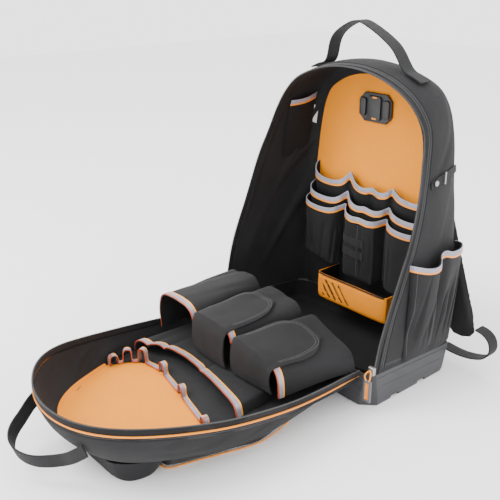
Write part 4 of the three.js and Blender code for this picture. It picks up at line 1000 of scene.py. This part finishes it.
class BACKPACK_OT_lid(bpy.types.Operator):
    """Adds the opened lid: its cloth, zip, pipings, lining, outer pockets and cloth hinge"""
    bl_idname = "backpack.lid"
    bl_label = "Lid"

    def execute(self, context):
        PIECES["lid"] = dress("lid_shell", "charcoal_cloth", "cloth", 3, 0.12, also=lid_creases)
        PIECES["lid_zip"] = dress("lid_zip", "webbing", "webbing", 2, 0.0)
        dress("lid_piping", "bright_cord", "orange_cloth", 2, 0.0, angle=80, fatten=-0.5 * MM)
        def puffs(points):
            return shift(points, 2, (1.1 + swell(points, 0.05, 41)) * 0.9 * MM)
        lining = dress("lid_lining", "bright_lining", "orange_cloth", 4, 0.12, also=puffs)
        points = coordinates(lining)
        line_x, line_y = zip(*LOOP_LINE)
        behind = points[:, 1] - np.interp(points[:, 0], np.array(line_x) * MM, np.array(line_y) * MM)
        # Behind the loop line the lining takes the darkened inner cloth: painted shade under the loop panel.
        lining.data.materials.append(MATERIALS["inner_cloth_painted_shade"])
        rear = behind > 0
        for face in lining.data.polygons:
            face.material_index = int(all(rear[k] for k in face.vertices))
        # The facings inside both rims are strips of the darkened inner cloth: painted shade just inside the
        # rims.
        for name, at, out in (("lid", lid_rim_at, -1.6), ("mouth", mouth_at, -2.2)):
            facing = lay_sheet(f"{name}_facing", 180, 3, lambda u, v: at(
                mix(0.004, 0.996, u), mix(0.0015, 0.02, v), out * MM - 0.6 * MM * v)[0], 0.8 * MM, 0)
            settle(facing, "inner_cloth_painted_shade", "cloth")
        for name in ("main", "tip"):
            dress(f"outer_pocket_{name}", "charcoal_cloth", "cloth", 3, 0.5)
        dress("outer_piping", "bright_cord", "orange_cloth", 2, 0.0, angle=100)
        dress("lid_hinge", "inner_cloth_painted_shade", "cloth", 3, 0.4)
        return {"FINISHED"}


class BACKPACK_OT_lid_pockets(bpy.types.Operator):
    """Adds the cloth arches and the raised tool loops on the lid's floor, with their tapes"""
    bl_idname = "backpack.lid_pockets"
    bl_label = "Lid pockets and loops"

    def execute(self, context):
        dress("lid_pocket_row", "charcoal_cloth", "cloth", 3, 0.3)
        dress("lid_pocket_row_trim", "lid_tape", "reflective_tape", 2, 0.3, across=(0, 1, 0),
              fatten=0.4 * MM)
        dress("loop_panel", "charcoal_cloth", "cloth", 3, 0.3)
        dress("loop_tape", "lid_tape", "reflective_tape", 2, 0.3, across=(-0.5, 0.86, 0),
              angle=80, width=9 * MM, fatten=0.4 * MM)
        return {"FINISHED"}


class BACKPACK_OT_pouches(bpy.types.Operator):
    """Adds the three box pouches with their tapes and the two stitched flaps"""
    bl_idname = "backpack.pouches"
    bl_label = "Pouches and flaps"

    def execute(self, context):
        def sag(points):
            dent = ridges(points, (0.5, 1.0, 0.1), 0.055, 0.16, 31) * 2.4 * MM
            return shift(points, 2, -dent * smooth((points[:, 2] - 0.09) / 0.03))
        for name in ("left", "middle", "right"):
            PIECES[f"pouch_{name}"] = dress(f"pouch_{name}", "charcoal_cloth", "cloth", 3, 0.9, also=sag)
            dress(f"pouch_{name}_trim", "lid_tape", "reflective_tape", 3, 0.9, across=(0, 1, 0),
                  also=sag, fatten=0.5 * MM)
        for name in ("middle", "right"):
            PIECES[f"flap_{name}"] = dress(f"flap_{name}", "charcoal_cloth", "cloth", 4, 0.9, also=sag)
        return {"FINISHED"}


class BACKPACK_OT_handles(bpy.types.Operator):
    """Adds the top handle and the webbing handle on the lid's tip"""
    bl_idname = "backpack.handles"
    bl_label = "Handles"

    def execute(self, context):
        PIECES["top_handle"] = dress("top_handle", "webbing", "webbing", 3, 0.3)
        PIECES["lid_handle"] = dress("lid_handle", "webbing", "webbing", 3, 0.3)
        return {"FINISHED"}


class BACKPACK_OT_harness(bpy.types.Operator):
    """Adds the padded shoulder straps, their webbing loops and the pads of the back"""
    bl_idname = "backpack.harness"
    bl_label = "Straps and back pads"

    def execute(self, context):
        for side, _ in SIDES:
            strap = copy_of(f"shoulder_strap_{side}", f"shoulder_strap_{side}_piece")
            subdivide(strap, 1)
            stuff(strap, 4.5 * MM, 3.0, 4 * MM)
            subdivide(strap, 1)
            soften(strap)
            settle(strap, "charcoal_cloth", "cloth", f"shoulder_strap_{side}")
            PIECES[f"strap_{side}"] = strap
            dress(f"strap_webbing_{side}", "webbing", "webbing", 2, 0.2)
        for name in ("upper", "lower"):
            pad = copy_of(f"back_pad_{name}", f"back_pad_{name}_piece")
            stuff(pad, 4.5 * MM, 4.0, 6 * MM)
            points = coordinates(pad)
            points[:, 1] = np.maximum(points[:, 1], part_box(f"back_pad_{name}")[0][1])
            place(pad, points)
            subdivide(pad, 1)
            soften(pad)
            settle(pad, "spacer_mesh", "cloth", f"back_pad_{name}")
            PIECES[f"pad_{name}"] = pad
        return {"FINISHED"}


class BACKPACK_OT_zips(bpy.types.Operator):
    """Adds the teeth along the mouth and the lid, and the sliders with their cords and grips"""
    bl_idname = "backpack.zips"
    bl_label = "Zips"

    def execute(self, context):
        pitch = context.scene.backpack_trim.tooth_pitch
        for name, at in (("mouth", mouth_at), ("lid", lid_rim_at)):
            fine = [at(k / 900) for k in range(901)]
            steps = [0.0]
            for here, there in zip(fine, fine[1:]):
                steps.append(steps[-1] + (there[0] - here[0]).length)
            spots = []
            for k in range(int(steps[-1] / pitch)):
                share = float(np.interp((k + 0.5) * pitch, steps, range(901))) / 900
                point, away = at(share)
                ahead, _ = at(min(1, share + 1 / 900))
                out = Vector((0, -1, 0)) if name == "mouth" else Vector((0, 0, 1))
                spots.append((point - away * 1.7 * MM, out, ahead - point))
            deselect()
            bpy.ops.mesh.primitive_cube_add(size=1, scale=(1.6 * MM, 2.6 * MM, pitch * 0.55))
            tooth = context.object
            bpy.ops.object.transform_apply(scale=True)
            apply(tooth, "BEVEL", width=0.35 * MM, segments=1)
            piece = copies(f"{name}_zip_teeth", tooth, spots)
            drop_template(tooth)
            settle(piece, "zip_teeth", "webbing")
        for side, turn in SIDES:
            hard(f"zip_slider_{side}", "worn_metal", "metal", 1.6 * MM, 3)
            low, high = (Vector(c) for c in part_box(f"zip_grip_{side}"))
            middle = (low + high) / 2
            deselect()
            bpy.ops.mesh.primitive_cube_add(size=1, location=middle, scale=(high - low))
            grip = context.object
            grip.name = f"zip_grip_{side}_piece"
            bpy.ops.object.transform_apply(location=True, scale=True)
            pick(grip)
            bpy.ops.object.mode_set(mode="EDIT")
            bpy.ops.mesh.select_mode(type="FACE")
            bpy.ops.mesh.select_all(action="DESELECT")
            bpy.ops.object.mode_set(mode="OBJECT")
            for face in grip.data.polygons:
                face.select = face.normal.y < -0.9
            bpy.ops.object.mode_set(mode="EDIT")
            bpy.ops.mesh.inset(thickness=3.2 * MM)
            bpy.ops.mesh.inset(thickness=0.1 * MM, depth=-1.2 * MM)
            bpy.ops.object.mode_set(mode="OBJECT")
            core = [face.index for face in grip.data.polygons if face.select]
            grip.data.materials.append(MATERIALS["grey_rubber"])
            grip.data.materials.append(MATERIALS["bright_cord"])
            for k in core:
                grip.data.polygons[k].material_index = 1
            apply(grip, "BEVEL", width=1.1 * MM, segments=3, limit_method="ANGLE",
                  angle_limit=math.radians(40))
            soften(grip)
            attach(grip, "root")
            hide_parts(f"zip_grip_{side}")
            top, x = high.z, middle.x
            y = low.y + 2 * MM
            loop = [(0, 0, -3), (3, 0.5, 1), (4.2, 0.5, 7), (3.6, 2.5, 13), (0.8, 4, 17), (-2.6, 3.5, 15),
                    (-5.5, 1.5, 11), (-6.5, 0, 6), (-4, 0, 1)]
            line = [Vector((x + turn * a * MM, y + b * MM, top + c * MM)) for a, b, c in loop]
            curved = []
            for k in range(len(line)):
                p, q, r, s = (line[(k + j) % len(line)] for j in (-1, 0, 1, 2))
                for step in range(5):
                    f = step / 5
                    curved.append(q + 0.5 * f * (r - p + f * (2 * p - 5 * q + 4 * r - s
                                                              + f * (3 * (q - r) + s - p))))
            cord = bead(f"zip_cord_{side}_piece", curved, 1.3 * MM, True, 3)
            settle(cord, "bright_cord", "orange_cloth", f"zip_cord_{side}")
        return {"FINISHED"}


class BACKPACK_OT_seams(bpy.types.Operator):
    """Lays the rows of stitches and the corded seams on the finished pieces"""
    bl_idname = "backpack.seams"
    bl_label = "Seams and stitches"

    def execute(self, context):
        shell = tree_of(PIECES["shell"])
        runs = [ring_on(shell, mouth_at, 6, 235, behind, 0.04, 0.2 * MM) for behind in (0.013, 0.0175)]
        for turn in (1, -1):
            for z in (0.071, 0.0745):
                ys = np.linspace(-0.085, 0.1, 60)
                runs.append(lay_on(shell, [(turn * 0.3, y, z + 0.004 - 0.01 * (y + 0.11) / 0.22) for y in ys],
                                   [(-turn, 0, 0)] * 60, 0.2 * MM))
        stitches("shell_stitches", runs)
        run = ring_on(shell, mouth_at, 4, 237, 0.022, 0.04, -0.1 * MM)
        settle(bead("shell_seam", [s[0] for s in run if s], 0.9 * MM), "charcoal_cloth", "cloth")

        lid = tree_of(PIECES["lid"])
        stitches("lid_stitches", [ring_on(lid, lid_rim_at, 4, 237, down, 0.03, 0.2 * MM)
                                  for down in (0.0165, 0.02)])

        runs = []
        for pouch in POUCHES:
            flap = tree_of(PIECES[f"flap_{pouch['name']}"])
            for inset in (0.09, 0.13):
                line = []
                for k in range(61):
                    t = k / 60
                    turn = math.pi * t
                    side = -math.cos(turn)
                    lying = 1.03 - 0.5 * (1 - math.sin(turn) ** 0.55) * 2
                    lying = max(0.02, lying) - inset
                    side = math.copysign(min(1, abs(side) ** 0.62), side) * (FLAP_HALF - inset)
                    line.append(pouch_top(pouch, side, 1 - FLAP_REACH * lying) + Vector((0, 0, 0.05)))
                runs.append(lay_on(flap, line, [(0, 0, -1)] * 61, 0.15 * MM))
        stitches("flap_stitches", runs)

        runs = []
        tree = tree_of(PIECES["lower"])
        for across in (-0.345, -0.315, 0.01, 0.315, 0.345):
            zs = np.linspace(0.132, 0.232, 40)
            runs.append(lay_on(tree, [(across * 0.15, -0.05, z) for z in zs], [(0, 1, 0)] * 40, 0.2 * MM))
        stitches("organiser_stitches", runs)

        runs = []
        for side, turn in SIDES:
            tree = tree_of(PIECES[f"pocket_{side}"])
            for y in (-0.0335, 0.0275, 0.0305, 0.1):
                zs = np.linspace(0.078, 0.236, 50)
                runs.append(lay_on(tree, [(turn * 0.3, y, z) for z in zs], [(-turn, 0, 0)] * 50, 0.2 * MM))
            tree = tree_of(PIECES[f"strap_{side}"])
            for edge in (-1, 1):
                line = []
                for x, z in ((52, 424), (68, 350), (96, 270), (130, 200), (162, 140)):
                    line.append(Vector((turn * (x + edge * 25), 260, z + edge * 9)) * MM)
                fine = [line[k].lerp(line[k + 1], s / 10) for k in range(4) for s in range(10)]
                runs.append(lay_on(tree, fine, [(0, -1, 0)] * len(fine), 0.2 * MM))
        stitches("side_stitches", runs)
        return {"FINISHED"}


CLASSES = (BackpackCloth, BackpackTrim, BackpackStudio)
OPERATORS = (BACKPACK_OT_studio, BACKPACK_OT_base, BACKPACK_OT_shell, BACKPACK_OT_organiser,
             BACKPACK_OT_map_pocket, BACKPACK_OT_wall_pocket, BACKPACK_OT_side_pockets,
             BACKPACK_OT_lid, BACKPACK_OT_lid_pockets, BACKPACK_OT_pouches, BACKPACK_OT_handles,
             BACKPACK_OT_harness, BACKPACK_OT_zips, BACKPACK_OT_seams)


class BACKPACK_PT_panel(bpy.types.Panel):
    """Lists the bag's settings and pieces"""
    bl_idname = "BACKPACK_PT_panel"
    bl_label = "Tool backpack"
    bl_space_type = "VIEW_3D"
    bl_region_type = "UI"
    bl_category = "Backpack"

    def draw(self, context):
        for group in ("backpack_cloth", "backpack_trim", "backpack_studio"):
            settings = getattr(context.scene, group)
            box = self.layout.box()
            for name in settings.__annotations__:
                box.prop(settings, name)
        for operator in OPERATORS:
            self.layout.operator(operator.bl_idname)


def register():
    for item in CLASSES + OPERATORS + (BACKPACK_PT_panel,):
        bpy.utils.register_class(item)
    bpy.types.Scene.backpack_cloth = bpy.props.PointerProperty(type=BackpackCloth)
    bpy.types.Scene.backpack_trim = bpy.props.PointerProperty(type=BackpackTrim)
    bpy.types.Scene.backpack_studio = bpy.props.PointerProperty(type=BackpackStudio)


def unregister():
    for group in ("backpack_cloth", "backpack_trim", "backpack_studio"):
        delattr(bpy.types.Scene, group)
    for item in reversed(CLASSES + OPERATORS + (BACKPACK_PT_panel,)):
        bpy.utils.unregister_class(item)


def main():
    register()
    for operator in OPERATORS:
        getattr(bpy.ops.backpack, operator.bl_idname.split(".")[1])()
    deselect()


if __name__ == "__main__":
    main()
